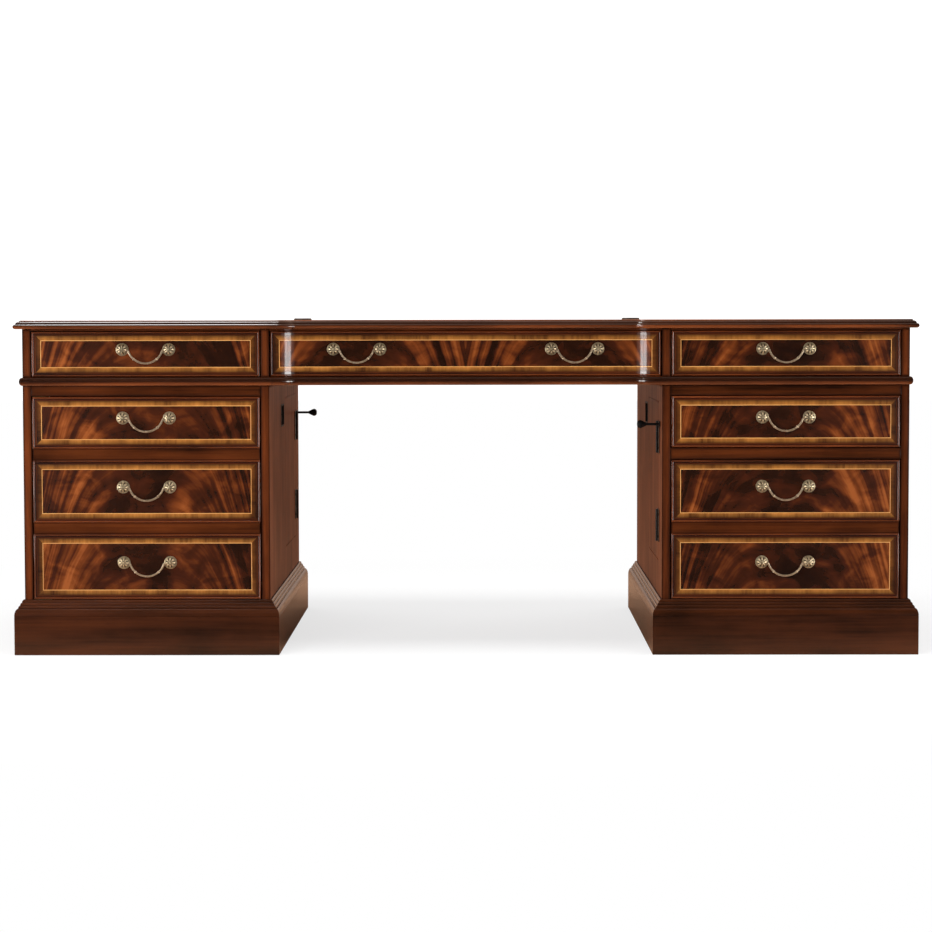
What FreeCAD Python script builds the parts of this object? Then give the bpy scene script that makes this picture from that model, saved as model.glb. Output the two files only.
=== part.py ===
import FreeCAD, Part
import math
import os

# Double-sided pedestal desk in mahogany: a moulded top over a frieze of three drawers on each long
# side, carried by two pedestals on moulded plinths. Turning the desk half round brings it onto itself.
# Millimetres, +Z up. The front faces -Y. The origin is on the floor under the middle of the desk.

os.makedirs("parts", exist_ok=True)
Vec = FreeCAD.Vector

# Plan of the carcase
desk_width = 2134.0
desk_depth = 1067.0
plinth_projection = 22.5
pedestal_width = 581.5
panel_thickness = 19.5
divider_thickness = 18.0
side_gap = 3.0
level_gap = 1.5

# Heights, from the floor up
plinth_height = 92.0
plinth_moulding_height = 38.0
lower_front_height = 155.0
middle_front_height = 147.0
upper_front_height = 123.0
rail_height = 28.0
rail_depth = 80.0
pedestal_top_thickness = 25.0
pedestal_floor_thickness = 27.0
frieze_floor_thickness = 20.5
frieze_opening_height = 108.5
frieze_rail_height = 4.5
top_thickness = 20.5

# Serpentine set-back of the centre section
centre_step = 6.0
centre_flat = 3.0
serpentine_radius = 28.0
serpentine_turn = 50.0

# Plinth boards and their moulding, three reeds stepped back over a broad ovolo
plinth_board = 30.0
plinth_ovolo_share = 0.36
plinth_ovolo_height_share = 0.47
plinth_reeds = 3
plinth_reed_share = 0.18

# Waist moulding, a half-round with a narrow flat above and below
waist_height = 19.5
waist_projection = 7.5
waist_flat = 1.0

# Edge of the top: a half-round nose under an ovolo and a fillet
top_overhang = 19.0
edge_width = 40.0
edge_nose_radius = 5.5
edge_ovolo = 7.5
edge_fillet = 3.0
moulding_steps = 3

# Leather panels let into the top, and the two caps over the cable holes
leather_thickness = 1.0
leather_margin = 75.0
leather_divide = 70.0
cap_inset = 47.0
cap_radius = 22.5
cap_sides = 24
cap_height = 4.5
cap_slope = 2.0

# Drawers
front_thickness = 20.0
door_thickness = 22.0
bead_width = 4.0
bead_proud = 2.0
bead_chamfer = 1.0
box_board = 12.0
box_floor = 8.0
box_floor_lift = 6.0
box_drop = 14.0
box_end_room = 15.0
box_side_room = 4.0
running_gap = 0.3
runner_width = 25.0
runner_height = 20.0
file_runner_height = 12.0

# Cable chase beside the drawers, its side door and the cable slot
chase_width = 48.0
chase_wall = 12.0
side_door_setback = 125.0
side_door_width = 368.0
side_door_height = 381.0
side_door_headroom = 43.0
side_door_thickness = 18.0
side_door_gap = 2.0
slot_width = 90.0
slot_height = 51.0
slot_bottom = 526.0
slot_spacing = 56.0

# Butt hinges of the side doors and the stops beside them
hinge_height = 77.0
hinge_spread = 212.0
leaf_width = 31.0
leaf_thickness = 2.0
barrel_radius = 3.5
barrel_lift = 0.2
leaf_relief = 0.5
hinge_pin_radius = 1.7
hinge_pin_clearance = 0.08
knuckle_gap = 0.3
stop_length = 55.0
stop_rod_radius = 3.0
stop_foot_radius = 7.0
stop_foot = 3.0
stop_bumper = 22.0
stop_bumper_radius = 9.8
stop_neck_radius = 4.5
stop_spacing = 20.0
stop_rise = 71.0

# Pivots of the cupboard doors
pivot_edge = 6.0
pivot_depth = 4.0
pivot_radius = 2.0
pivot_clearance = 0.08
pivot_reach = 12.0
pivot_end_room = 1.0
pivot_plate = 1.2
pivot_plate_length = 40.0
pivot_plate_width = 14.0

# Swan-neck pulls
pull_spacing = 110.0
pull_rise = 10.5
centre_pull_share = 0.647
rosette_sides = 6
rosette_radius = 15.0
rosette_neck = 4.2
rosette_bell_radius = 12.0
rosette_shoulder = 9.8
rosette_crown_radius = 6.0
rosette_height = 13.0
bail_sides = 6
bail_radius = 2.5
bail_clearance = 0.1
bail_standoff = 7.0
bail_sink = 2.0
bail_tip = 4.0
bail_tip_room = 1.0
bail_start = 12.5
bail_elbow = 3.0
bail_reach = 30.5
elbow_steps = 2
bow_steps = 3

# Cuts run past the faces that they open, and small turned pieces have this many flats
overrun = 5.0
round_sides = 12

# Places worked out from the sizes
case_x = desk_width / 2 - plinth_projection
case_y = desk_depth / 2 - plinth_projection
knee_x = case_x - pedestal_width
outer_x = case_x - panel_thickness
inner_x = knee_x + panel_thickness
opening_mid_x = (outer_x + inner_x) / 2
front_left_x = inner_x + side_gap
front_right_x = outer_x - side_gap
divider_y = divider_thickness / 2

base_z = plinth_height + plinth_moulding_height
lower_top_z = base_z + lower_front_height
middle_z = lower_top_z + rail_height
middle_top_z = middle_z + middle_front_height
upper_z = middle_top_z + rail_height
upper_top_z = upper_z + upper_front_height
waist_z = upper_top_z + pedestal_top_thickness
frieze_z = waist_z + frieze_floor_thickness
frieze_top_z = frieze_z + frieze_opening_height
top_z = frieze_top_z + frieze_rail_height
surface_z = top_z + top_thickness

turn = math.radians(serpentine_turn)
serpentine_start = knee_x - top_overhang - centre_flat
serpentine_end = serpentine_start - 2 * serpentine_radius * math.sin(turn)
flat_y = -case_y + centre_step
recess_y = flat_y + 2 * serpentine_radius * (1 - math.cos(turn))

cap_spread = 2 * (knee_x - cap_inset)
centre_pull_x = serpentine_end * centre_pull_share
bail_hole_radius = (bail_radius + bail_clearance) / math.cos(math.pi / bail_sides)

chase_x = inner_x + chase_width + chase_wall
hinge_y = -case_y + side_door_setback
hinge_x = knee_x - barrel_radius - barrel_lift
side_door_bottom = waist_z - side_door_headroom - side_door_height
side_door_mid_z = side_door_bottom + side_door_height / 2


# Basic shapes
def box(x0, x1, y0, y1, z0, z1):
    corner = Vec(min(x0, x1), min(y0, y1), min(z0, z1))
    return Part.makeBox(abs(x1 - x0), abs(y1 - y0), abs(z1 - z0), corner)


def line(start, end):
    return Part.LineSegment(start, end).toShape()


def arc(start, middle, end):
    return Part.Arc(start, middle, end).toShape()


def ring(radius, sides, place):
    # Corners of a regular polygon; the place function turns its two coordinates into a point.
    angles = [2 * math.pi * (corner + 1 / 2) / sides for corner in range(sides)]
    return [place(radius * math.cos(angle), radius * math.sin(angle)) for angle in angles]


def flat_face(corners):
    return Part.Face(Part.makePolygon(corners + corners[:1]))


def skin(rings):
    # Solid through rings with the same number of corners, with flat sides between them.
    faces = [flat_face(rings[0]), flat_face(rings[-1])]
    for near, far in zip(rings, rings[1:]):
        for corner in range(len(near)):
            after = (corner + 1) % len(near)
            faces.append(flat_face([near[corner], near[after], far[after]]))
            faces.append(flat_face([near[corner], far[after], far[corner]]))
    shell = Part.makeShell(faces)
    shell.sewShape()
    solid = Part.makeSolid(shell)
    if solid.Volume < 0:
        solid.reverse()
    return solid.removeSplitter()


def pin(radius, foot, length):
    # Upright pin, its corners on the radius. A negative length points down.
    corners = ring(radius, round_sides, lambda u, v: foot.add(Vec(u, v, 0)))
    return flat_face(corners).extrude(Vec(0, 0, length))


def bore(radius, foot, length):
    # Upright hole, its flats on the radius.
    return pin(radius / math.cos(math.pi / round_sides), foot, length)


def half_turn(shape):
    turned = shape.copy()
    turned.rotate(Vec(0, 0, 0), Vec(0, 0, 1), 180)
    return turned


def both_ends(shape):
    return [shape, half_turn(shape)]


def prism(wire, height):
    return Part.Face(wire).extrude(Vec(0, 0, height))


def export(name, solids):
    shape = solids[0] if len(solids) == 1 else Part.makeCompound(solids)
    shape.exportStep("parts/" + name + ".step")


# Plan lines
def centre_line(offset, end_x, z):
    # Front line of the centre section, set out from its face by the offset: flat, S-curve, flat.
    round_radius = serpentine_radius + offset
    hollow_radius = serpentine_radius - offset

    def on_round(side, angle):
        x = serpentine_start - round_radius * math.sin(angle)
        return Vec(side * x, flat_y - offset + round_radius * (1 - math.cos(angle)), z)

    def on_hollow(side, angle):
        x = serpentine_end + hollow_radius * math.sin(angle)
        return Vec(side * x, recess_y - offset - hollow_radius * (1 - math.cos(angle)), z)

    end = Vec(end_x, flat_y - offset, z)
    far_end = Vec(-end_x, flat_y - offset, z)
    return [
        line(far_end, on_round(-1, 0)),
        arc(on_round(-1, 0), on_round(-1, turn / 2), on_round(-1, turn)),
        arc(on_hollow(-1, turn), on_hollow(-1, turn / 2), on_hollow(-1, 0)),
        line(on_hollow(-1, 0), on_hollow(1, 0)),
        arc(on_hollow(1, 0), on_hollow(1, turn / 2), on_hollow(1, turn)),
        arc(on_round(1, turn), on_round(1, turn / 2), on_round(1, 0)),
        line(on_round(1, 0), end),
    ]


def frieze_outline(offset, z):
    # Whole plan of the frieze, with its steps and S-curves, set out from its faces by the offset.
    end_x = case_x + offset
    face_y = -case_y - offset
    step_x = knee_x - offset
    step_y = flat_y - offset
    side = [
        line(Vec(-end_x, face_y, z), Vec(-step_x, face_y, z)),
        line(Vec(-step_x, face_y, z), Vec(-step_x, step_y, z)),
        *centre_line(offset, step_x, z),
        line(Vec(step_x, step_y, z), Vec(step_x, face_y, z)),
        line(Vec(step_x, face_y, z), Vec(end_x, face_y, z)),
        line(Vec(end_x, face_y, z), Vec(end_x, -face_y, z)),
    ]
    return Part.Wire(side + [half_turn(edge) for edge in side])


def pedestal_corners(offset, z):
    x0 = knee_x - offset
    x1 = case_x + offset
    y = case_y + offset
    return [Vec(x0, -y, z), Vec(x1, -y, z), Vec(x1, y, z), Vec(x0, y, z)]


def pedestal_outline(offset, z):
    corners = pedestal_corners(offset, z)
    return Part.makePolygon(corners + corners[:1])


def centre_strip(offset, end_x, back_y, z0, z1):
    # Board whose front edge follows the centre section and whose back edge is straight.
    front = centre_line(offset, end_x, z0)
    first = Vec(-end_x, flat_y - offset, z0)
    last = Vec(end_x, flat_y - offset, z0)
    back = [
        line(last, Vec(end_x, back_y, z0)),
        line(Vec(end_x, back_y, z0), Vec(-end_x, back_y, z0)),
        line(Vec(-end_x, back_y, z0), first),
    ]
    return prism(Part.Wire(front + back), z1 - z0)


# Mouldings
def quarter(centre_out, centre_z, reach_out, reach_z):
    # Points of a quarter round or hollow, from level with its centre to above or below it.
    points = []
    for step in range(moulding_steps + 1):
        angle = math.pi / 2 * step / moulding_steps
        points.append((centre_out + reach_out * math.cos(angle), centre_z + reach_z * math.sin(angle)))
    return points


def moulding(outline, profile, inside):
    # Ring around the outline set in by the inside offset. Its profile runs from the foot up, as a line
    # of points: how far each stands out, and its height.
    foot_z = profile[0][1]
    body = Part.makeLoft([outline(out, z) for out, z in profile], True, True)
    return body.cut(prism(outline(inside, foot_z), profile[-1][1] - foot_z))


def plinth_moulding():
    ovolo_height = plinth_moulding_height * plinth_ovolo_height_share
    reed_height = (plinth_moulding_height - ovolo_height) / plinth_reeds
    rounds = [(plinth_projection * plinth_ovolo_share, ovolo_height)]
    rounds += [(plinth_projection * plinth_reed_share, reed_height)] * plinth_reeds
    out = plinth_projection
    z = plinth_height
    profile = [(out, z)]
    for width, height in rounds:
        out -= width
        profile += quarter(out, z, width, height)[1:]
        z += height
    return moulding(pedestal_outline, profile, 0)


def waist_moulding():
    half = waist_height / 2
    middle_z = waist_z + half
    reach = waist_projection - waist_flat
    lower = quarter(waist_flat, middle_z, reach, -half)
    upper = quarter(waist_flat, middle_z, reach, half)
    return moulding(frieze_outline, lower[::-1] + upper[1:], 0)


def top_edge():
    nose_out = top_overhang - edge_nose_radius
    nose_z = top_z + edge_nose_radius
    ovolo_z = nose_z + edge_nose_radius
    fillet_z = surface_z - edge_fillet
    lower = quarter(nose_out, nose_z, edge_nose_radius, -edge_nose_radius)
    upper = quarter(nose_out, nose_z, edge_nose_radius, edge_nose_radius)
    ovolo = quarter(nose_out - edge_ovolo, ovolo_z, edge_ovolo, fillet_z - ovolo_z)
    profile = lower[::-1] + upper[1:] + ovolo[1:] + [(nose_out - edge_ovolo, surface_z)]
    return moulding(frieze_outline, profile, top_overhang - edge_width)


# Top
def leather_rectangles():
    inner = (cap_spread - leather_divide) / 2
    outer = (cap_spread + leather_divide) / 2
    side_x = case_x + top_overhang - leather_margin
    side_y = case_y + top_overhang - leather_margin
    centre_y = -recess_y + top_overhang - leather_margin
    return [(-side_x, -outer, side_y), (-inner, inner, centre_y), (outer, side_x, side_y)]


def leathers(raise_by):
    low_z = surface_z - leather_thickness
    return [box(x0, x1, -y, y, low_z, surface_z + raise_by) for x0, x1, y in leather_rectangles()]


def top_board():
    board = prism(frieze_outline(top_overhang - edge_width, top_z), top_thickness)
    for pocket in leathers(overrun):
        board = board.cut(pocket)
    return board


def cable_cap():
    # Low cap with a sloping rim.
    levels = ((cap_radius, surface_z), (cap_radius - cap_slope, surface_z + cap_height))
    middle_x = cap_spread / 2
    return skin([ring(radius, cap_sides, lambda u, v: Vec(middle_x + u, v, z)) for radius, z in levels])


# Frieze
def frieze_case():
    rail_back = -case_y + rail_depth
    quarter_pieces = [
        box(knee_x, case_x, -case_y, case_y, waist_z, frieze_z),
        box(outer_x, case_x, -case_y, case_y, frieze_z, top_z),
        box(knee_x, inner_x, -case_y, case_y, frieze_z, top_z),
        box(inner_x, outer_x, -divider_y, divider_y, frieze_z, top_z),
        box(inner_x, outer_x, -case_y, rail_back, frieze_top_z, top_z),
        box(-outer_x, -inner_x, -case_y, rail_back, frieze_top_z, top_z),
        centre_strip(0, knee_x, rail_back, frieze_top_z, top_z),
    ]
    pieces = []
    for piece in quarter_pieces:
        pieces += both_ends(piece)
    pieces.append(box(-knee_x, knee_x, -divider_y, divider_y, frieze_z, top_z))
    front = centre_line(0, knee_x, waist_z)
    sides = [line(Vec(knee_x, flat_y, waist_z), Vec(knee_x, -flat_y, waist_z))]
    half = front + sides
    pieces.append(prism(Part.Wire(half + [half_turn(edge) for edge in half]), frieze_floor_thickness))
    return pieces


# Pedestals
def inner_panel():
    # Panel towards the kneehole, with the side door's opening and the cable slot.
    panel = box(knee_x, inner_x, -case_y, case_y, plinth_height, waist_z)
    door_y0 = hinge_y - side_door_gap / 2
    door_y1 = door_y0 + side_door_width + 2 * side_door_gap
    door_z0 = side_door_bottom - side_door_gap
    door_z1 = side_door_bottom + side_door_height + side_door_gap
    slot_y0 = door_y1 + slot_spacing
    slot_y1 = slot_y0 + slot_width
    cut_x0 = knee_x - overrun
    cut_x1 = inner_x + overrun
    panel = panel.cut(box(cut_x0, cut_x1, door_y0, door_y1, door_z0, door_z1))
    return panel.cut(box(cut_x0, cut_x1, slot_y0, slot_y1, slot_bottom, slot_bottom + slot_height))


def pedestal_case():
    # Drawers at the front, a cupboard at the back, a divider between them.
    rail_back = -case_y + rail_depth
    pieces = [
        inner_panel(),
        box(outer_x, case_x, -case_y, case_y, plinth_height, waist_z),
        box(inner_x, outer_x, -case_y, case_y, base_z - pedestal_floor_thickness, base_z),
        box(inner_x, outer_x, -case_y, case_y, upper_top_z, waist_z),
        box(inner_x, outer_x, -divider_y, divider_y, base_z, upper_top_z),
        box(inner_x, outer_x, -case_y, rail_back, middle_top_z, upper_z),
        box(chase_x - chase_wall, chase_x, rail_back, -divider_y, base_z, upper_top_z),
    ]
    for top, height in ((upper_z, runner_height), (base_z + file_runner_height, file_runner_height)):
        pieces.append(box(chase_x, chase_x + runner_width, rail_back, -divider_y, top - height, top))
        pieces.append(box(outer_x - runner_width, outer_x, rail_back, -divider_y, top - height, top))
    return pieces


def plinth_boards():
    # Four boards mitred at the corners.
    outer = pedestal_corners(plinth_projection, 0)
    inner = pedestal_corners(plinth_projection - plinth_board, 0)
    boards = []
    for corner in range(len(outer)):
        after = (corner + 1) % len(outer)
        plan = flat_face([outer[corner], outer[after], inner[after], inner[corner]])
        boards.append(plan.extrude(Vec(0, 0, plinth_height)))
    return boards


# Drawers and doors
def beaded_board(x0, x1, z0, z1, thickness, bead_levels):
    # Front board with a cock bead around each drawer face on it.
    board = box(x0, x1, -case_y, -case_y + thickness, z0, z1)
    proud_y = -case_y - bead_proud
    for low, high in bead_levels:
        rim = box(x0, x1, proud_y, -case_y, low, high)
        hole = box(x0 + bead_width, x1 - bead_width, proud_y - overrun, -case_y + overrun,
                   low + bead_width, high - bead_width)
        rim = rim.cut(hole)
        nose = [edge for edge in rim.Edges if edge.BoundBox.YMax < proud_y + bead_chamfer / 2]
        board = board.fuse(rim.makeChamfer(bead_chamfer, nose))
    return board.removeSplitter()


def drawer_box(x0, x1, front_back_y, z0, z1):
    # Sides, back and bottom board behind a drawer front.
    back_y = -divider_y - box_end_room
    inside_back_y = back_y - box_board
    floor_z = z0 + box_floor_lift
    return [
        box(x0, x0 + box_board, front_back_y, back_y, z0, z1),
        box(x1 - box_board, x1, front_back_y, back_y, z0, z1),
        box(x0 + box_board, x1 - box_board, inside_back_y, back_y, z0, z1),
        box(x0 + box_board, x1 - box_board, front_back_y, inside_back_y, floor_z, floor_z + box_floor),
    ]


def frieze_drawer(side):
    x0, x1 = sorted((side * front_left_x, side * front_right_x))
    z0 = frieze_z + level_gap
    z1 = frieze_top_z - level_gap
    front = beaded_board(x0, x1, z0, z1, front_thickness, [(z0, z1)])
    return [front] + drawer_box(x0, x1, -case_y + front_thickness, frieze_z + running_gap, z1 - box_drop)


def centre_drawer():
    # The front is shaped to the S-curves; its bead follows them.
    x = knee_x - side_gap
    z0 = frieze_z + level_gap
    z1 = frieze_top_z - level_gap
    back_y = recess_y + front_thickness
    front = centre_strip(0, x, back_y, z0, z1)
    rim = centre_strip(bead_proud, x, back_y, z0, z1)
    hole = box(-x + bead_width, x - bead_width, -case_y - overrun, back_y + overrun,
               z0 + bead_width, z1 - bead_width)
    front = front.fuse(rim.cut(hole)).removeSplitter()
    return [front] + drawer_box(-x, x, back_y, frieze_z + running_gap, z1 - box_drop)


def top_drawer():
    z0 = upper_z + level_gap
    z1 = upper_top_z - level_gap
    front = beaded_board(front_left_x, front_right_x, z0, z1, front_thickness, [(z0, z1)])
    box_x0 = chase_x + box_side_room
    box_x1 = outer_x - box_side_room
    box_z0 = upper_z + running_gap
    return [front] + drawer_box(box_x0, box_x1, -case_y + front_thickness, box_z0, z1 - box_drop)


def file_drawer():
    # One deep drawer faced as two.
    z0 = base_z + level_gap
    z1 = middle_top_z - level_gap
    levels = [(z0, lower_top_z), (middle_z, z1)]
    front = beaded_board(front_left_x, front_right_x, z0, z1, front_thickness, levels)
    box_x0 = chase_x + box_side_room
    box_x1 = outer_x - box_side_room
    box_z0 = base_z + file_runner_height + running_gap
    return [front] + drawer_box(box_x0, box_x1, -case_y + front_thickness, box_z0, z1 - box_drop)


def pivot_x():
    return -front_right_x + pivot_edge


def cupboard_door():
    # One door faced as three drawers, drilled top and bottom for its pivots.
    z0 = base_z + level_gap
    z1 = upper_top_z - level_gap
    levels = [(z0, lower_top_z), (middle_z, middle_top_z), (upper_z, z1)]
    door = beaded_board(-front_right_x, -front_left_x, z0, z1, door_thickness, levels)
    depth = pivot_reach + pivot_end_room
    for edge_z, up in ((z0, 1), (z1, -1)):
        mouth = Vec(pivot_x(), -case_y + pivot_depth, edge_z - up * overrun)
        door = door.cut(bore(pivot_radius + pivot_clearance, mouth, up * (depth + overrun)))
    return door


def cupboard_pivots():
    # A plate on the case above and below the door, each with a pin that stands in the door's edge.
    pieces = []
    plate_y = -case_y + pivot_depth
    for case_z, up in ((base_z, 1), (upper_top_z, -1)):
        plate = box(pivot_x() - pivot_edge, pivot_x() - pivot_edge + pivot_plate_length,
                    -case_y, -case_y + pivot_plate_width, case_z, case_z + up * pivot_plate)
        foot = Vec(pivot_x(), plate_y, case_z)
        stud = pin(pivot_radius, foot, up * (level_gap + pivot_reach))
        pieces.append(plate.fuse(stud).removeSplitter())
    return pieces


def side_door():
    y0 = hinge_y + side_door_gap / 2
    z1 = side_door_bottom + side_door_height
    return box(knee_x, knee_x + side_door_thickness, y0, y0 + side_door_width, side_door_bottom, z1)


# Hinges and stops of the side doors
def hinge_foot(place):
    return side_door_mid_z + place * hinge_spread / 2 - hinge_height / 2


def hinge_leaf(place, way, knuckles):
    # Leaf on the kneehole face, towards -Y or +Y of the pin, with knuckles at the given thirds.
    foot = hinge_foot(place)
    third = hinge_height / 3
    plate_x = knee_x - leaf_thickness
    root_y = hinge_y + way * (barrel_radius + leaf_relief)
    leaf = box(plate_x, knee_x, root_y, hinge_y + way * leaf_width, foot, foot + hinge_height)
    for knuckle in knuckles:
        z0 = foot + knuckle * third + knuckle_gap / 2
        z1 = foot + (knuckle + 1) * third - knuckle_gap / 2
        leaf = leaf.fuse(pin(barrel_radius, Vec(hinge_x, hinge_y, z0), z1 - z0))
        leaf = leaf.fuse(box(plate_x, knee_x, hinge_y, root_y, z0, z1))
    return leaf


def fixed_leaf(place):
    leaf = hinge_leaf(place, -1, (0, 2))
    foot = Vec(hinge_x, hinge_y, hinge_foot(place) + knuckle_gap)
    return leaf.fuse(pin(hinge_pin_radius, foot, hinge_height - 2 * knuckle_gap)).removeSplitter()


def moving_leaf(place):
    leaf = hinge_leaf(place, 1, (1,))
    foot = Vec(hinge_x, hinge_y, hinge_foot(place))
    return leaf.cut(bore(hinge_pin_radius + hinge_pin_clearance, foot, hinge_height)).removeSplitter()


def door_stop():
    # Rod on a foot, with a flared rubber bumper on its tip, standing out from the panel.
    y = hinge_y - leaf_width - stop_spacing
    z = hinge_foot(1) + stop_rise
    neck = stop_length - stop_bumper
    members = [((0, stop_foot_radius), (stop_foot, stop_foot_radius)),
               ((stop_foot, stop_rod_radius), (neck, stop_rod_radius)),
               ((neck, stop_neck_radius), (stop_length, stop_bumper_radius))]
    stop = None
    for member in members:
        ends = []
        for out, radius in member:
            ends.append(ring(radius, round_sides, lambda u, v: Vec(knee_x - out, y + u, z + v)))
        piece = skin(ends)
        stop = stop.fuse(piece) if stop else piece
    return stop


# Pulls
def rosette(x, face_y, z, inward):
    # Six-petalled boss with the bail's hole in its inner flank.
    heights = [(rosette_radius, 0), (rosette_bell_radius, rosette_neck),
               (rosette_bell_radius, rosette_shoulder), (rosette_crown_radius, rosette_height)]
    sections = []
    for radius, height in heights:
        sections.append(ring(radius, rosette_sides, lambda u, v: Vec(x + u, face_y - height, z + v)))
    boss = skin(sections)
    start_x = x + inward * (bail_tip - bail_tip_room)
    hole_y = face_y - bail_standoff
    hole_z = z - bail_sink
    hole = ring(bail_hole_radius, bail_sides, lambda u, v: Vec(start_x, hole_y + u, hole_z + v))
    return boss.cut(flat_face(hole).extrude(Vec(inward * rosette_radius, 0, 0)))


def rosette_pair(x, face_y, z):
    half = pull_spacing / 2
    return [rosette(x - half, face_y, z, 1), rosette(x + half, face_y, z, -1)]


def bail(x, face_y, z):
    # Swan-neck bail: a pin in each rosette, an elbow, and one arc between the elbows.
    y = face_y - bail_standoff
    pin_z = z - bail_sink
    half = pull_spacing / 2
    span = half - bail_start
    sweep = 2 * math.atan(bail_reach / span)
    bow = span / math.sin(sweep) - bail_elbow

    def section(out, drop, slope):
        # Six-sided section across the wire, where it slopes down by the given angle.
        def place(u, v):
            return Vec(x + out + v * math.sin(slope), y + u, pin_z - drop + v * math.cos(slope))
        return ring(bail_radius, bail_sides, place)

    half_path = [(half - bail_tip, 0, 0)]
    for step in range(elbow_steps + 1):
        angle = sweep * step / elbow_steps
        half_path.append((span - bail_elbow * math.sin(angle), bail_elbow * (1 - math.cos(angle)), angle))
    for step in range(1, bow_steps + 1):
        angle = sweep * (1 - step / bow_steps)
        half_path.append((bow * math.sin(angle), bail_reach - bow * (1 - math.cos(angle)), angle))
    left = [section(-out, drop, slope) for out, drop, slope in half_path]
    right = [section(out, drop, -slope) for out, drop, slope in half_path[-2::-1]]
    return skin(left + right)


def front_height(low, high):
    return (low + high) / 2 + pull_rise


# Fronts with their pulls: name, solids, face of the front, and the middle of each pull
frieze_pull_z = front_height(frieze_z, frieze_top_z)
lower_pull_z = front_height(base_z, lower_top_z)
middle_pull_z = front_height(middle_z, middle_top_z)
upper_pull_z = front_height(upper_z, upper_top_z)
fronts = [
    ("left_frieze_drawer", frieze_drawer(-1), -case_y, {"bail": (-opening_mid_x, frieze_pull_z)}),
    ("centre_frieze_drawer", centre_drawer(), recess_y, {
        "left_bail": (-centre_pull_x, frieze_pull_z),
        "right_bail": (centre_pull_x, frieze_pull_z)}),
    ("right_frieze_drawer", frieze_drawer(1), -case_y, {"bail": (opening_mid_x, frieze_pull_z)}),
    ("top_drawer", top_drawer(), -case_y, {"bail": (opening_mid_x, upper_pull_z)}),
    ("file_drawer", file_drawer(), -case_y, {
        "upper_bail": (opening_mid_x, middle_pull_z),
        "lower_bail": (opening_mid_x, lower_pull_z)}),
    ("cupboard_door", [cupboard_door()], -case_y, {
        "upper_bail": (-opening_mid_x, upper_pull_z),
        "middle_bail": (-opening_mid_x, middle_pull_z),
        "lower_bail": (-opening_mid_x, lower_pull_z)}),
]


def export_both(name, solids):
    export("front_" + name, solids)
    export("back_" + name, [half_turn(solid) for solid in solids])


# The two long sides
for front_name, solids, face_y, pulls in fronts:
    export_both(front_name, solids)
    rosettes = []
    for bail_name, (pull_x, pull_z) in pulls.items():
        rosettes += rosette_pair(pull_x, face_y, pull_z)
        export_both(front_name + "_" + bail_name, [bail(pull_x, face_y, pull_z)])
    export_both(front_name + "_rosettes", rosettes)

export_both("side_door", [side_door()])
export_both("side_door_leaves", [moving_leaf(-1), moving_leaf(1)])

# The fixed carcase
export("right_pedestal_case", pedestal_case())
export("left_pedestal_case", [half_turn(piece) for piece in pedestal_case()])
plinth_pieces = plinth_boards() + [plinth_moulding()]
export("plinths", plinth_pieces + [half_turn(piece) for piece in plinth_pieces])
export("frieze_case", frieze_case())
export("waist_moulding", [waist_moulding()])
export("top_board", [top_board()])
export("top_edge_moulding", [top_edge()])
export("writing_leathers", leathers(0))
export("cable_caps", both_ends(cable_cap()))
export("side_hinge_leaves", both_ends(fixed_leaf(-1)) + both_ends(fixed_leaf(1)))
export("door_stops", both_ends(door_stop()))
export("cupboard_pivots", [half for piece in cupboard_pivots() for half in both_ends(piece)])
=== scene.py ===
import itertools
import math
import bmesh
import bpy
import numpy as np
from mathutils import Matrix, Vector


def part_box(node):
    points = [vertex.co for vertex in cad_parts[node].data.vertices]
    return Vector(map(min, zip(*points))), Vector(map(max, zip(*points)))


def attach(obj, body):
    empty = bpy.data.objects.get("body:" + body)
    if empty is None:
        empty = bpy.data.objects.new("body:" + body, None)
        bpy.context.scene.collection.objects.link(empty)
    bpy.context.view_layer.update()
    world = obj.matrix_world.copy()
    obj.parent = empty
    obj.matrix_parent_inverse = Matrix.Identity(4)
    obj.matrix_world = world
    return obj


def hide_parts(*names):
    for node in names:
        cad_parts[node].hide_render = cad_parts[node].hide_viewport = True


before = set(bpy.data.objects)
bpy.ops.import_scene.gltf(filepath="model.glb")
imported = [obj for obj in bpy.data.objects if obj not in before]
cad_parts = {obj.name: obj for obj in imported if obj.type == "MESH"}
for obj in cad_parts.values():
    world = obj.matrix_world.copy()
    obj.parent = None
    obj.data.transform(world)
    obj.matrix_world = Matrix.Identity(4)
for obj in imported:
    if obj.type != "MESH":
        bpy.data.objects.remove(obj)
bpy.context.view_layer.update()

# Pedestal cases
# Two carcases glued up from solid mahogany: upright panels, rails and runners across, and a divider between
# the drawers of one long side and the cupboard of the other. French-polished, with eased arrises.
case_low, case_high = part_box("right_pedestal_case")
knee_x, case_x, case_y = case_low.x, case_high.x, case_high.y
panel_thickness = 0.0195
inner_x, outer_x = knee_x + panel_thickness, case_x - panel_thickness
base_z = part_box("plinths")[1].z
waist_z = case_high.z
case_top_board, bottom_board = 0.025, 0.027
lower_height, middle_height, sham_rail = 0.155, 0.147, 0.028
case_top_z = waist_z - case_top_board
lower_face = (base_z, base_z + lower_height)
middle_face = (lower_face[1] + sham_rail, lower_face[1] + sham_rail + middle_height)
upper_face = (middle_face[1] + sham_rail, case_top_z)
rail_depth = 0.080
rail_back_y = -case_y + rail_depth
divider_y = 0.009
chase_width, chase_wall = 0.048, 0.012
chase_near_x = inner_x + chase_width
chase_far_x = chase_near_x + chase_wall
runner_width, upper_runner_height, file_runner_height = 0.025, 0.020, 0.012
arris, hair = 0.0009, 0.00001
# Darkening at arrises by width and share, and how deep and steep all darkening is, painted shade included.
arris_dark_width, arris_dark_share, stain_and_shade_depth, stain_and_shade_falloff = 0.007, 0.35, 0.88, 1.5
flat_facing = 0.99
board_numbers = itertools.count(1)
board_shift = np.array([0.73, 0.41, 0.19])
other_board_shift = np.array([0, 0, 1.37])
ends = ("right", "left")
grain_orders = {"X": (0, 1, 2), "Y": (1, 0, 2), "Z": (2, 0, 1)}


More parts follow.
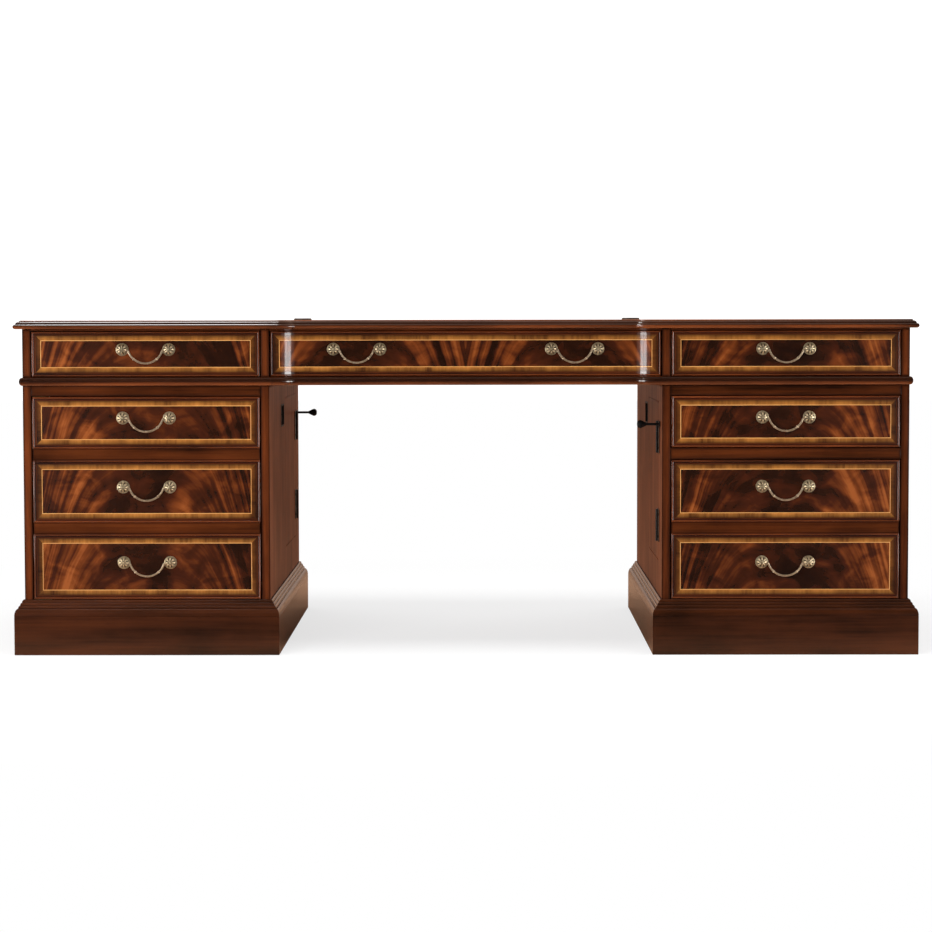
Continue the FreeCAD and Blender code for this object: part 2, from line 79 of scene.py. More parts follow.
def pick(*pieces):
    # Selects these pieces alone and makes the first one active.
    bpy.ops.object.select_all(action="DESELECT")
    for piece in pieces:
        piece.select_set(True)
    bpy.context.view_layer.objects.active = pieces[0]


def edit(piece):
    pick(piece)
    bpy.ops.object.mode_set(mode="EDIT")
    bpy.ops.mesh.select_mode(type="FACE")
    bpy.ops.mesh.select_all(action="SELECT")


def leave(piece, smooth_degrees=35):
    bpy.ops.object.mode_set(mode="OBJECT")
    bpy.ops.object.shade_smooth_by_angle(angle=math.radians(smooth_degrees))
    return piece


def select_faces(piece, test):
    bpy.ops.mesh.select_mode(type="FACE")
    bpy.ops.mesh.select_all(action="DESELECT")
    mesh = bmesh.from_edit_mesh(piece.data)
    for face in mesh.faces:
        if test(face.calc_center_median(), face.normal):
            face.select_set(True)
    bmesh.update_edit_mesh(piece.data)


def placed():
    # The piece just added, with its place, turn and scale put into its mesh.
    bpy.ops.object.transform_apply(location=True, rotation=True, scale=True)
    return bpy.context.object


def block(low, high):
    # Plain block between two corners.
    low, high = Vector(low), Vector(high)
    bpy.ops.mesh.primitive_cube_add(size=1, location=(low + high) / 2, scale=high - low)
    return placed()


def read(rows, name, width=3):
    # Values of a mesh's vertices, corners or faces, as an array.
    values = np.empty(len(rows) * width, dtype=int if width == 1 else float)
    rows.foreach_get(name, values)
    return values if width == 1 else values.reshape(-1, width)


def corner_points(mesh):
    return read(mesh.vertices, "co")[read(mesh.loops, "vertex_index", 1)]


def store_grain(mesh, points):
    # Wood coordinates of every face corner: along the grain, across it and through it.
    grain = mesh.attributes.get("grain") or mesh.attributes.new("grain", "FLOAT_VECTOR", "CORNER")
    grain.data.foreach_set("vector", points.astype(np.float32).ravel())


def store_stain_and_shade(mesh, values):
    # Darkening from 0 to 1 at each face corner, partly painted shade in creases, beside beads and atop mouldings.
    stain_and_shade = mesh.attributes.get("stain_and_shade") or mesh.attributes.new("stain_and_shade", "FLOAT", "CORNER")
    stain_and_shade.data.foreach_set("value", np.clip(values, 0, 1).astype(np.float32))


def lay_grain(piece, along):
    shift = next(board_numbers) * board_shift
    store_grain(piece.data, corner_points(piece.data)[:, grain_orders[along]] + shift)
    return piece


def board(low, high, along, edge=arris):
    # Board with eased arrises, its grain along X, Y or Z, darker towards the arrises.
    piece = block(low, high)
    rim = min(arris_dark_width, arris_dark_share * min(Vector(high) - Vector(low)))
    edit(piece)
    bpy.ops.mesh.bevel(offset=edge, segments=2, affect="EDGES")
    select_faces(piece, lambda centre, normal: max(abs(value) for value in normal) > flat_facing)
    bpy.ops.mesh.inset(thickness=rim, use_individual=True)
    leave(piece)
    points = corner_points(piece.data)
    from_sides = np.minimum(points - np.array(low), np.array(high) - points)
    store_stain_and_shade(piece.data, 1 - np.sort(from_sides, axis=1)[:, 1] / rim)
    return lay_grain(piece, along)


def join(name, pieces):
    pick(*pieces)
    bpy.ops.object.join()
    pieces[0].name = name
    pieces[0].data.name = name
    return pieces[0]


def cut(piece, cutter):
    pick(piece)
    opening = piece.modifiers.new("opening", "BOOLEAN")
    opening.object = cutter
    bpy.ops.object.modifier_apply(modifier="opening")
    bpy.data.objects.remove(cutter)
    return piece


def copy_as(piece, name, move):
    copied = piece.copy()
    copied.data = piece.data.copy()
    copied.name = name
    copied.data.name = name
    bpy.context.collection.objects.link(copied)
    copied.data.transform(move)
    return copied


def half_turn(piece, name):
    # The same piece on the other long side, cut from other boards.
    copied = copy_as(piece, name, Matrix.Rotation(math.pi, 4, "Z"))
    grain = copied.data.attributes.get("grain")
    if grain:
        store_grain(copied.data, read(grain.data, "vector") + next(board_numbers) * other_board_shift)
    return copied


def seat(piece, body, slot, material, *replaced):
    # Finishes a piece: its material, the body that carries it and the node that it stands for.
    if material:
        piece.data.materials.append(material)
    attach(piece, body)
    if replaced:
        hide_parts(*replaced)


def seat_both(piece, name, body, slot, material, *replaced, sides=("front", "back")):
    # Seats a piece and, on the other side of the desk, its half turn. Braces in a name stand for the side.
    piece.name = piece.data.name = name.format(sides[0])
    copied = half_turn(piece, name.format(sides[1]))
    for side, made in zip(sides, (piece, copied)):
        seat(made, body.format(side), slot, material, *(node.format(side) for node in replaced))


def shade(red, green, blue):
    # Colour as a painter would name it, on a scale of 255, turned into light.
    channels = []
    for value in (red, green, blue):
        share = value / 255
        channels.append(share / 12.92 if share <= 0.04045 else ((share + 0.055) / 1.055) ** 2.4)
    return (*channels, 1)


def fill(socket, value):
    if isinstance(value, bpy.types.NodeSocket):
        socket.id_data.links.new(value, socket)
    else:
        socket.default_value = value


def add(tree, kind, **sockets):
    made = tree.nodes.new("ShaderNode" + kind)
    for name, value in sockets.items():
        fill(made.inputs[name.replace("_", " ")], value)
    return made


def calc(operation, *values):
    made = add(values[0].id_data, "Math")
    made.operation = operation
    for socket, value in zip(made.inputs, values):
        fill(socket, value)
    return made.outputs[0]


def spread(value, low, high, to_low=0.0, to_high=1.0, smooth=False):
    made = add(value.id_data, "MapRange", Value=value, From_Min=low, From_Max=high, To_Min=to_low, To_Max=to_high)
    made.interpolation_type = "SMOOTHSTEP" if smooth else "LINEAR"
    return made.outputs[0]


def mixed(share, first, second):
    made = add(share.id_data, "Mix")
    made.data_type = "RGBA"
    for number, value in ((0, share), (6, first), (7, second)):
        fill(made.inputs[number], value)
    return made.outputs[2]


def noise(vector, stretch, detail, rough=0.55, twist=0.0):
    scaled = add(vector.id_data, "VectorMath")
    scaled.operation = "MULTIPLY"
    fill(scaled.inputs[0], vector)
    fill(scaled.inputs[1], stretch)
    made = add(vector.id_data, "TexNoise", Vector=scaled.outputs[0], Scale=1.0, Detail=detail, Roughness=rough,
               Distortion=twist)
    return made.outputs[0]


def group(name, **inputs):
    # Shared effect that gives a colour, a roughness and a height.
    tree = bpy.data.node_groups.new(name, "ShaderNodeTree")
    outputs = {"Color": "Color", "Roughness": "Float", "Height": "Float"}
    for way, sockets in (("INPUT", inputs), ("OUTPUT", outputs)):
        for socket, kind in sockets.items():
            tree.interface.new_socket(name=socket, in_out=way, socket_type="NodeSocket" + kind)
    return tree, tree.nodes.new("NodeGroupInput").outputs, tree.nodes.new("NodeGroupOutput").inputs


def give(result, *values):
    for socket, value in zip(result, values):
        fill(socket, value)


def mahogany_grain():
    # Straight mahogany: broad ribbon figure, finer fibres and short dark pores along the grain.
    tree, given, result = group("mahogany_grain", Grain="Vector", Stain="Float", Dark="Color", Light="Color")
    ribbon = noise(given["Grain"], (1.6, 26, 26), 3, 0.5, 0.6)
    cloud = noise(given["Grain"], (5, 9, 9), 3)
    fibre = noise(given["Grain"], (5, 170, 170), 4, 0.6)
    pores = noise(given["Grain"], (70, 1500, 1500), 2)
    tone = calc("MULTIPLY_ADD", ribbon, 1.2, calc("MULTIPLY_ADD", fibre, 0.7, -0.95))
    tone = calc("MULTIPLY_ADD", cloud, 1.0, tone)
    wood = mixed(spread(tone, 0.1, 0.9), given["Dark"], given["Light"])
    pore = spread(pores, 0.62, 0.72)
    wood = mixed(calc("MULTIPLY", pore, 0.4), wood, shade(20, 9, 5))
    # Darkens the wood where the attribute asks, in part painted shade in creases, beside beads and on mouldings.
    wood = mixed(calc("MULTIPLY", given["Stain"], stain_and_shade_depth), wood, shade(20, 8, 5))
    give(result, wood, spread(fibre, 0.2, 0.8, 0.4, 0.55), calc("SUBTRACT", fibre, pore))
    return tree


def finish(color, roughness, height, coat, bump=0.08, gloss=0.0, coat_roughness=0.2, metallic=0.0):
    # Surface with its relief, its own gloss and a coat of polish.
    tree = color.id_data
    relief = add(tree, "Bump", Height=height, Strength=bump, Distance=0.001).outputs[0]
    surface = {"Base Color": color, "Roughness": roughness, "Normal": relief, "Metallic": metallic,
               "Coat Weight": coat, "Coat Roughness": coat_roughness, "Specular IOR Level": gloss}
    for name, value in surface.items():
        fill(tree.nodes["Principled BSDF"].inputs[name], value)


def new_material(name):
    material = bpy.data.materials.new(name)
    material.use_nodes = True
    return material, material.node_tree


def attribute(tree, name, output):
    made = add(tree, "Attribute")
    made.attribute_name = name
    return made.outputs[output]


def place_group(tree, shared, **sockets):
    made = add(tree, "Group")
    made.node_tree = shared
    for name, value in sockets.items():
        fill(made.inputs[name], value)
    return made.outputs


grain_figure = mahogany_grain()


def mahogany(name, dark, light, coat, stain_and_shade=1.0, **polish):
    material, tree = new_material(name)
    gathered = calc("MULTIPLY", calc("POWER", attribute(tree, "stain_and_shade", "Fac"), stain_and_shade_falloff), stain_and_shade)
    wood = place_group(tree, grain_figure, Grain=attribute(tree, "grain", "Vector"), Stain=gathered,
                       Dark=shade(*dark), Light=shade(*light))
    finish(*wood, coat, **polish)
    return material


case_mahogany = mahogany("case_mahogany", (40, 16, 7), (116, 55, 24), 0.15)
rail_mahogany = mahogany("rail_mahogany", (29, 12, 5), (96, 45, 18), 0.15)
# A lighter, pinker copy of the case wood for faces towards the kneehole: painted reflection of the pale backdrop.
lit_kneehole_mahogany = mahogany("lit_kneehole_mahogany", (94, 47, 27), (138, 76, 47), 0.15, coat_roughness=0.3)
door_low, door_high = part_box("front_side_door")
door_room, door_clearance = 0.002, 0.0007
slot_low_z, slot_high_z = 0.526, 0.577
slot_near_y, slot_far_y = 0.041, 0.131
through = 0.005

inner_panel = board((knee_x, -case_y, case_low.z), (inner_x, case_y, waist_z), "Z")
doorway = Vector((through, door_room, door_clearance))
inner_panel = cut(inner_panel, block(Vector((knee_x, door_low.y, door_low.z)) - doorway,
                                     Vector((inner_x, door_high.y, door_high.z)) + doorway))
inner_panel = cut(inner_panel, block((knee_x - through, slot_near_y, slot_low_z),
                                     (inner_x + through, slot_far_y, slot_high_z)))
lay_grain(inner_panel, "Z")
case_boards = [
    inner_panel,
    board((outer_x, -case_y, case_low.z), (case_x, case_y, waist_z), "Z"),
    board((inner_x, -case_y, base_z - bottom_board), (outer_x, case_y, base_z), "X"),
    board((inner_x, -case_y, case_top_z), (outer_x, case_y, waist_z), "X"),
    board((inner_x, -divider_y, base_z), (outer_x, divider_y, case_top_z), "X"),
    board((inner_x, -case_y, middle_face[1]), (outer_x, rail_back_y, upper_face[0]), "X"),
    board((chase_near_x, rail_back_y, base_z), (chase_far_x, -divider_y, case_top_z), "Z"),
]
runners = ((upper_face[0], upper_runner_height), (base_z + file_runner_height, file_runner_height))
for runner_top, height in runners:
    for near_x in (chase_far_x, outer_x - runner_width):
        case_boards.append(board((near_x, rail_back_y, runner_top - height),
                                 (near_x + runner_width, -divider_y, runner_top), "Y"))
right_case = join("right_pedestal", case_boards)
places_x = read(right_case.data.polygons, "center")[:, 0]
# Faces towards the kneehole take the lit copy (painted reflection); faces between the panels, the rail wood.
woods = np.where(places_x < knee_x + hair, 2, (places_x > inner_x + hair) & (places_x < outer_x - hair))
right_case.data.polygons.foreach_set("material_index", woods.astype(np.int32))
for wood in (case_mahogany, rail_mahogany, lit_kneehole_mahogany):
    right_case.data.materials.append(wood)
seat_both(right_case, "{}_pedestal", "desk", "mahogany", None, "{}_pedestal_case", sides=ends)

# Plinths
# Four mahogany boards mitred round each pedestal's foot, under a run moulding of an ovolo and three reeds
# that steps in to the case. Darker than the case, with painted shade in the creases between the reeds.
plinth_mahogany = mahogany("plinth_mahogany", (34, 15, 6), (74, 35, 15), 0.5)
plinth_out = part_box("plinths")[1].x - case_x
plinth_top_z = case_low.z
plinth_board = 0.030
moulding_rise = base_z - plinth_top_z
ovolo_share, ovolo_rise_share, reed_share = 0.36, 0.47, 0.18
ovolo_out, ovolo_rise = ovolo_share * plinth_out, ovolo_rise_share * moulding_rise
reeds = 3
reed_out, reed_rise = reed_share * plinth_out, (moulding_rise - ovolo_rise) / reeds
moulding_steps = 7
crease_reach, weld = 0.0001, 0.000001


def quarter(across, rise):
    # Steps in and up of a quarter round, upright at its foot.
    steps = []
    for step in range(moulding_steps):
        angle, after = (math.pi / 2 * end / moulding_steps for end in (step, step + 1))
        steps.append((across * (math.cos(angle) - math.cos(after)), rise * (math.sin(after) - math.sin(angle))))
    return steps


def run_grain(piece, creases, painted_shade=((0,), (0,))):
    # Grain that follows each run of a frame or moulding, along X or Y, with painted shade at the levels of
    # its creases and painted shade over the levels and depths given, as on a moulding's upper part.
    mesh = piece.data
    points = corner_points(mesh)
    normals, centres = read(mesh.polygons, "normal"), read(mesh.polygons, "center")
    level = np.abs(normals[:, 2]) > flat_facing
    end_run = np.abs(normals[:, 0]) > np.abs(normals[:, 1])
    end_run[level] = (case_x - np.abs(centres[:, 0]) < case_y - np.abs(centres[:, 1]))[level]
    along_y = np.repeat(end_run, read(mesh.polygons, "loop_total", 1))[:, None]
    grain = np.where(along_y, points[:, grain_orders["Y"]], points[:, grain_orders["X"]])
    store_grain(mesh, grain + next(board_numbers) * board_shift)
    stain_and_shade = np.interp(points[:, 2], *painted_shade)
    # Painted shade at each crease.
    for crease in creases:
        stain_and_shade = np.maximum(stain_and_shade, np.abs(points[:, 2] - crease) < crease_reach)
    store_stain_and_shade(mesh, stain_and_shade)
    return piece


def face_outward():
    bpy.ops.mesh.select_all(action="SELECT")
    bpy.ops.mesh.normals_make_consistent(inside=False)


def moulding(outline, above, below, depth, creases, *painted_shade):
    # Works a plan face at a moulding's widest line into a closed ring with a plain wall inside.
    under = copy_as(outline, "under", Matrix.Identity(4))
    for piece, steps, facing_down in ((outline, above, False), (under, below, True)):
        edit(piece)
        if facing_down:
            bpy.ops.mesh.flip_normals()
        for across, rise in steps:
            bpy.ops.mesh.inset(thickness=max(across, hair), depth=rise)
        left = depth - sum(across for across, rise in steps)
        if left > weld:
            bpy.ops.mesh.inset(thickness=left, depth=0)
        bpy.ops.mesh.delete(type="FACE")
        bpy.ops.object.mode_set(mode="OBJECT")
    ring = join(outline.name, [outline, under])
    edit(ring)
    bpy.ops.mesh.remove_doubles(threshold=weld)
    bpy.ops.mesh.select_mode(type="EDGE")
    bpy.ops.mesh.select_all(action="DESELECT")
    bpy.ops.mesh.select_non_manifold()
    bpy.ops.mesh.bridge_edge_loops()
    face_outward()
    return run_grain(leave(ring, smooth_degrees=25), creases, *painted_shade)


def plan_rectangle(x0, x1, y1, z):
    bpy.ops.mesh.primitive_plane_add(size=1, location=((x0 + x1) / 2, 0, z))
    bpy.context.object.scale = (x1 - x0, 2 * y1, 1)
    return placed()


plinth_plan = (knee_x - plinth_out, case_x + plinth_out, case_y + plinth_out)
eased = [(arris, arris)]
# Painted shade at the crease under the moulding and at each crease between the reeds.
boards_ring = moulding(plan_rectangle(*plinth_plan, plinth_top_z - arris), eased,
                       [(0, plinth_top_z - 2 * arris), *eased], plinth_board, [plinth_top_z])
moulding_ring = moulding(plan_rectangle(*plinth_plan, plinth_top_z),
                         quarter(ovolo_out, ovolo_rise) + reeds * quarter(reed_out, reed_rise), [], plinth_out,
                         [plinth_top_z + ovolo_rise + reed_rise * reed for reed in range(reeds + 1)])
plinth = join("plinth", [boards_ring, moulding_ring])
seat_both(plinth, "{}_plinth", "desk", "mahogany", plinth_mahogany, "plinths", sides=ends)

# Frieze
# Boards that tie the two pedestals together: floors, ends, stiles, dividers and the thin rails over the
# drawers, with the centre section set back on an S-curve at each stile.
frieze_floor, frieze_rise = 0.0205, 0.129
frieze_z, frieze_top_z = waist_z + frieze_floor, waist_z + frieze_rise
top_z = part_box("frieze_case")[1].z
step_back = 0.006
curve_radius = 0.028
curve_turn = math.radians(50)
curve_inset = 0.022
curve_start = knee_x - curve_inset
curve_end = curve_start - 2 * curve_radius * math.sin(curve_turn)
flat_y = -case_y + step_back
recess_y = flat_y + 2 * curve_radius * (1 - math.cos(curve_turn))
curve_steps = 10


def push(x, y, z):
    bpy.ops.mesh.extrude_region_move(TRANSFORM_OT_translate={"value": (x, y, z)})


def trace(start, moves, z):
    # Draws a plan line as edges: straight runs to a point, and arcs about a centre by an angle.
    bpy.ops.mesh.primitive_plane_add(size=1)
    piece = bpy.context.object
    edit(piece)
    bpy.ops.mesh.merge(type="CENTER")
    bpy.ops.mesh.select_mode(type="VERT")
    bpy.ops.mesh.select_all(action="SELECT")
    bpy.ops.transform.translate(value=(*start, z))
    place = Vector(start)
    for move in moves:
        if len(move) == 2:
            target = Vector(move)
            step = target - place
            push(step.x, step.y, 0)
            place = target
        else:
            centre, angle = Vector(move[:2]), move[2]
            bpy.ops.mesh.spin(steps=curve_steps, angle=-angle, center=(*centre, z), axis=(0, 0, 1))
            place = centre + Matrix.Rotation(angle, 2) @ (place - centre)
    bpy.ops.mesh.select_all(action="SELECT")
    bpy.ops.mesh.remove_doubles(threshold=weld)
    return piece


def centre_moves(out):
    # Front line of the centre section from left to right, set out from its face.
    round_radius, hollow_radius = curve_radius + out, curve_radius - out
    round_y, hollow_y = flat_y - out + round_radius, recess_y - out - hollow_radius
    return [
        (-curve_start, flat_y - out),
        (-curve_start, round_y, curve_turn),
        (-curve_end, hollow_y, -curve_turn),
        (curve_end, recess_y - out),
        (curve_end, hollow_y, -curve_turn),
        (curve_start, round_y, curve_turn),
    ]


def plan_face(name, out, z):
    # Whole plan of the frieze, set out from its faces: one long side drawn, then turned for the other.
    end_x, step_x, face_y, step_y = case_x + out, knee_x - out, -case_y - out, flat_y - out
    moves = [(-step_x, face_y), (-step_x, step_y), *centre_moves(out), (step_x, step_y), (step_x, face_y),
             (end_x, face_y), (end_x, -face_y)]
    piece = trace((-end_x, face_y), moves, z)
    piece.name = name
    bpy.ops.mesh.duplicate()
    bpy.ops.transform.rotate(value=math.pi, orient_axis="Z", center_override=(0, 0, 0))
    bpy.ops.mesh.select_all(action="SELECT")
    bpy.ops.mesh.remove_doubles(threshold=hair)
    bpy.ops.mesh.edge_face_add()
    bpy.ops.mesh.normals_make_consistent(inside=False)
    faces = bmesh.from_edit_mesh(piece.data).faces
    faces.ensure_lookup_table()
    if faces[0].normal.z < 0:
        bpy.ops.mesh.flip_normals()
    bpy.ops.object.mode_set(mode="OBJECT")
    return piece


def curved_board(start, moves, z0, z1):
    # Board sawn to a closed plan line.
    piece = trace(start, moves, z0)
    bpy.ops.mesh.edge_face_add()
    push(0, 0, z1 - z0)
    face_outward()
    return lay_grain(leave(piece), "X")


thin_arris = 0.0004
frieze_boards = [
    board((knee_x, -case_y, waist_z), (case_x, case_y, frieze_z), "X"),
    board((outer_x, -case_y, frieze_z), (case_x, case_y, top_z), "Z"),
    board((knee_x, -case_y, frieze_z), (inner_x, case_y, top_z), "Z"),
    board((inner_x, -divider_y, frieze_z), (outer_x, divider_y, top_z), "X"),
    board((inner_x, -case_y, frieze_top_z), (outer_x, rail_back_y, top_z), "X", thin_arris),
    board((-outer_x, -case_y, frieze_top_z), (-inner_x, rail_back_y, top_z), "X", thin_arris),
    curved_board((-knee_x, flat_y), [*centre_moves(0), (knee_x, flat_y), (knee_x, rail_back_y),
                                     (-knee_x, rail_back_y), (-knee_x, flat_y)], frieze_top_z, top_z),
    curved_board((-knee_x, flat_y), [*centre_moves(0), (knee_x, flat_y), (knee_x, 0), (-knee_x, 0),
                                     (-knee_x, flat_y)], waist_z, frieze_z),
]
front_frieze = join("frieze", frieze_boards)
back_frieze = half_turn(front_frieze, "back_frieze")
long_divider = board((-knee_x, -divider_y, frieze_z), (knee_x, divider_y, top_z), "X")
frieze = join("frieze", [front_frieze, back_frieze, long_divider])
seat(frieze, "desk", "mahogany", case_mahogany, "frieze_case")

# Waist moulding
# A half-round run in mahogany and planted round the foot of the frieze. It follows the set-back of the
# centre section and is mitred at every corner. Painted shade darkens its upper part and its creases.
moulding_mahogany = mahogany("moulding_mahogany", (48, 20, 9), (132, 65, 28), 1.0, coat_roughness=0.15)
waist_half = 0.00975
waist_out = 0.0075
waist_flat = 0.001
waist_round = quarter(waist_out - waist_flat, waist_half)
# Painted shade on the round, rising from 0.35 to 0.9 of its half-height above the foot, full above that.
waist_painted_shade_shares = (0.35, 0.9)
waist_painted_shade = ([waist_z + share * waist_half for share in waist_painted_shade_shares], (0, 1))
waist = moulding(plan_face("waist_bead", waist_out, waist_z + waist_half), waist_round, waist_round, waist_out,
                 [waist_z, waist_z + 2 * waist_half], waist_painted_shade)
seat(waist, "desk", "mahogany", moulding_mahogany, "waist_moulding")

# Edge of the top
# Solid mahogany run with a half-round nose under an ovolo and a fillet, mitred at the corners and carried
# round the set-back of the centre. Painted shade darkens it from the nose's upper part up, and at its creases.
surface_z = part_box("top_board")[1].z
top_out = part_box("top_edge_moulding")[1].x - case_x
nose_radius = 0.0055
edge_ovolo = 0.0075
edge_fillet, edge_ease = 0.003, 0.004
edge_width = 0.040
nose_top_z = top_z + 2 * nose_radius
edge_ovolo_rise = surface_z - nose_top_z - edge_fillet
nose_round = quarter(nose_radius, nose_radius)
above_nose = [*nose_round, *quarter(edge_ovolo, edge_ovolo_rise), *quarter(edge_ease, edge_fillet)]
# Painted shade rising over the nose's upper part, full over the ovolo, fading out across the fillet.
nose_painted_shade_shares = (0.8, 1.4)
nose_painted_shade = [top_z + share * nose_radius for share in nose_painted_shade_shares]
edge_painted_shade = ([*nose_painted_shade, surface_z - edge_fillet, surface_z], (0, 1, 1, 0))
top_edge = moulding(plan_face("top_edge", top_out, top_z + nose_radius), above_nose, nose_round, edge_width,
                    [top_z, nose_top_z, surface_z - edge_fillet], edge_painted_shade)
seat(top_edge, "desk", "mahogany", moulding_mahogany, "top_edge_moulding")

# Top board
# A board veneered in mahogany with the grain across the border. Three panels are sunk in it for the
# leathers, and the moulded edge is glued round it.
leather_low, leather_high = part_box("writing_leathers")
cap_inset = 0.047
cap_x = knee_x - cap_inset
leather_border, leather_divide = 0.075, 0.070
leather_centre_y = -recess_y + top_out - leather_border
leather_plans = [(-leather_high.x, -cap_x - leather_divide / 2, leather_high.y),
                 (leather_divide / 2 - cap_x, cap_x - leather_divide / 2, leather_centre_y),
                 (cap_x + leather_divide / 2, leather_high.x, leather_high.y)]
top_board = plan_face("top_veneer", top_out - edge_width, top_z)
edit(top_board)
push(0, 0, surface_z - top_z)
face_outward()
leave(top_board)
for x0, x1, y in leather_plans:
    top_board = cut(top_board, block((x0, -y, leather_low.z), (x1, y, surface_z + through)))
lay_grain(top_board, "Y")
seat(top_board, "desk", "mahogany", case_mahogany, "top_board")

# Writing leathers
# Three hides pasted into the sunk panels, level with the veneer, with two gilt lines tooled round each.
# They are brown, and worn unevenly.
def leather_grain():
    tree, given, result = group("leather_grain", Place="Vector", Dark="Color", Light="Color")
    pebble = add(tree, "TexVoronoi", Vector=given["Place"], Scale=650.0)
    wear = noise(given["Place"], (5, 5, 5), 4)
    color = mixed(spread(wear, 0.3, 0.7), given["Dark"], given["Light"])
    give(result, color, spread(wear, 0.3, 0.7, 0.42, 0.56), pebble.outputs["Distance"])
    return tree


leather_figure = leather_grain()


def leather(name, dark, light, metallic):
    material, tree = new_material(name)
    place = add(tree, "TexCoord").outputs["Object"]
    hide = place_group(tree, leather_figure, Place=place, Dark=shade(*dark), Light=shade(*light))
    finish(*hide, coat=0.0, bump=0.25, gloss=0.3, metallic=metallic)
    return material


brown_leather = leather("brown_leather", (66, 30, 17), (98, 48, 26), 0.0)
gilt_line = leather("gilt_line", (150, 108, 50), (196, 152, 82), 0.7)
tooling = ((0.012, 0), (0.0016, 1), (0.006, 0), (0.0008, 1))
hides = []
for x0, x1, y in leather_plans:
    hide = block((x0, -y, leather_low.z), (x1, y, leather_high.z))
    hide.data.materials.append(brown_leather)
    hide.data.materials.append(gilt_line)
    edit(hide)
    select_faces(hide, lambda centre, normal: normal.z > flat_facing)
    for width, line in tooling:
        hide.active_material_index = line
        bpy.ops.object.material_slot_assign()
        bpy.ops.mesh.inset(thickness=width, depth=0)
    hide.active_material_index = 0
    bpy.ops.object.material_slot_assign()
    hides.append(leave(hide))
seat(join("leathers", hides), "desk", "leather", None, "writing_leathers")

# Cable caps
# Two low turned caps of bronze-brown plastic over the cable holes at the joints of the top, each with a
# fine groove round its lid.
worn = 0.12


def speckled(name, dark, light, roughness, metallic, scale=90, gloss=0.2, grime=None):
    # Plain material with the slight unevenness of casting or wear, and with grime in its hollows if it has any.
    material, tree = new_material(name)
    place = add(tree, "TexCoord").outputs["Object"]
    wear = noise(place, (scale, scale, scale), 4)
    color = mixed(spread(wear, 0.3, 0.7), shade(*dark), shade(*light))
    if grime:
        color = mixed(attribute(tree, "recess", "Fac"), color, shade(*grime))
    dullness = spread(wear, 0.3, 0.7, roughness, roughness + worn)
    finish(color, dullness, wear, coat=0.0, bump=0.1, gloss=gloss, metallic=metallic)
    return material


def metres(table):
    # Table of millimetres, turned into metres.
    return [tuple(value / 1000 for value in row) for row in table]


def turned(profile, axis, place, sides):
    # Turned piece: a disc stepped in and out along an axis from its foot, by radius and rise.
    foot_radius, foot_rise = profile[0]
    bpy.ops.mesh.primitive_circle_add(vertices=sides, radius=foot_radius, fill_type="NGON",
                                      location=(0, 0, foot_rise))
    piece = placed()
    edit(piece)
    for (radius, rise), (next_radius, next_rise) in zip(profile, profile[1:]):
        push(0, 0, next_rise - rise)
        scale = next_radius / radius
        bpy.ops.transform.resize(value=(scale, scale, 1), center_override=(0, 0, next_rise))
    face_outward()
    bpy.ops.object.mode_set(mode="OBJECT")
    turn = Vector((0, 0, 1)).rotation_difference(Vector(axis)).to_matrix().to_4x4()
    piece.data.transform(Matrix.Translation(place) @ turn)
    return leave(piece)


bronze_plastic = speckled("bronze_plastic", (44, 32, 26), (58, 43, 34), 0.38, 0.0)
cap_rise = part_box("cable_caps")[1].z - surface_z
lid_rise, groove_rise = 1000 * cap_rise, 1000 * cap_rise - 0.7
cap_profile = metres([(22.5, 0), (22.5, 1.2), (21.9, 2.8), (21.1, 4.0), (19.9, lid_rise), (13.5, lid_rise),
                      (13.1, groove_rise), (12.6, groove_rise), (12.2, lid_rise)])
cap = turned(cap_profile, (0, 0, 1), (cap_x, 0, surface_z), sides=48)
caps = join("caps", [cap, half_turn(cap, "cap")])
seat(caps, "desk", "bronze_plastic", bronze_plastic, "cable_caps")

# Drawer fronts and sham fronts
# Each face is a board with a cock bead planted round it, then a dark margin, a golden crossband, a pale
# string and a panel of flame mahogany cut from a crotch. Door and file drawer carry several faces.
front_gap = 0.003
front_x0, front_x1 = inner_x + front_gap, outer_x - front_gap
front_thickness, door_thickness = 0.020, 0.022
level_gap = 0.0015
bead_width, bead_proud, bead_rounding = 0.004, 0.002, 0.0017
margin_width, band_width, string_width = 0.0055, 0.011, 0.0014
# Painted shade: width of the dark fade on rails beside the beads, and its fall across each margin.
rail_painted_shade, margin_fade = 0.005, 0.5
front_facing = 0.9
seam_share = 0.647
seam_x = curve_end * seam_share
flame_step, book_seed = 3.7, 5.3
curve_length = curve_radius * curve_turn
slices = 12


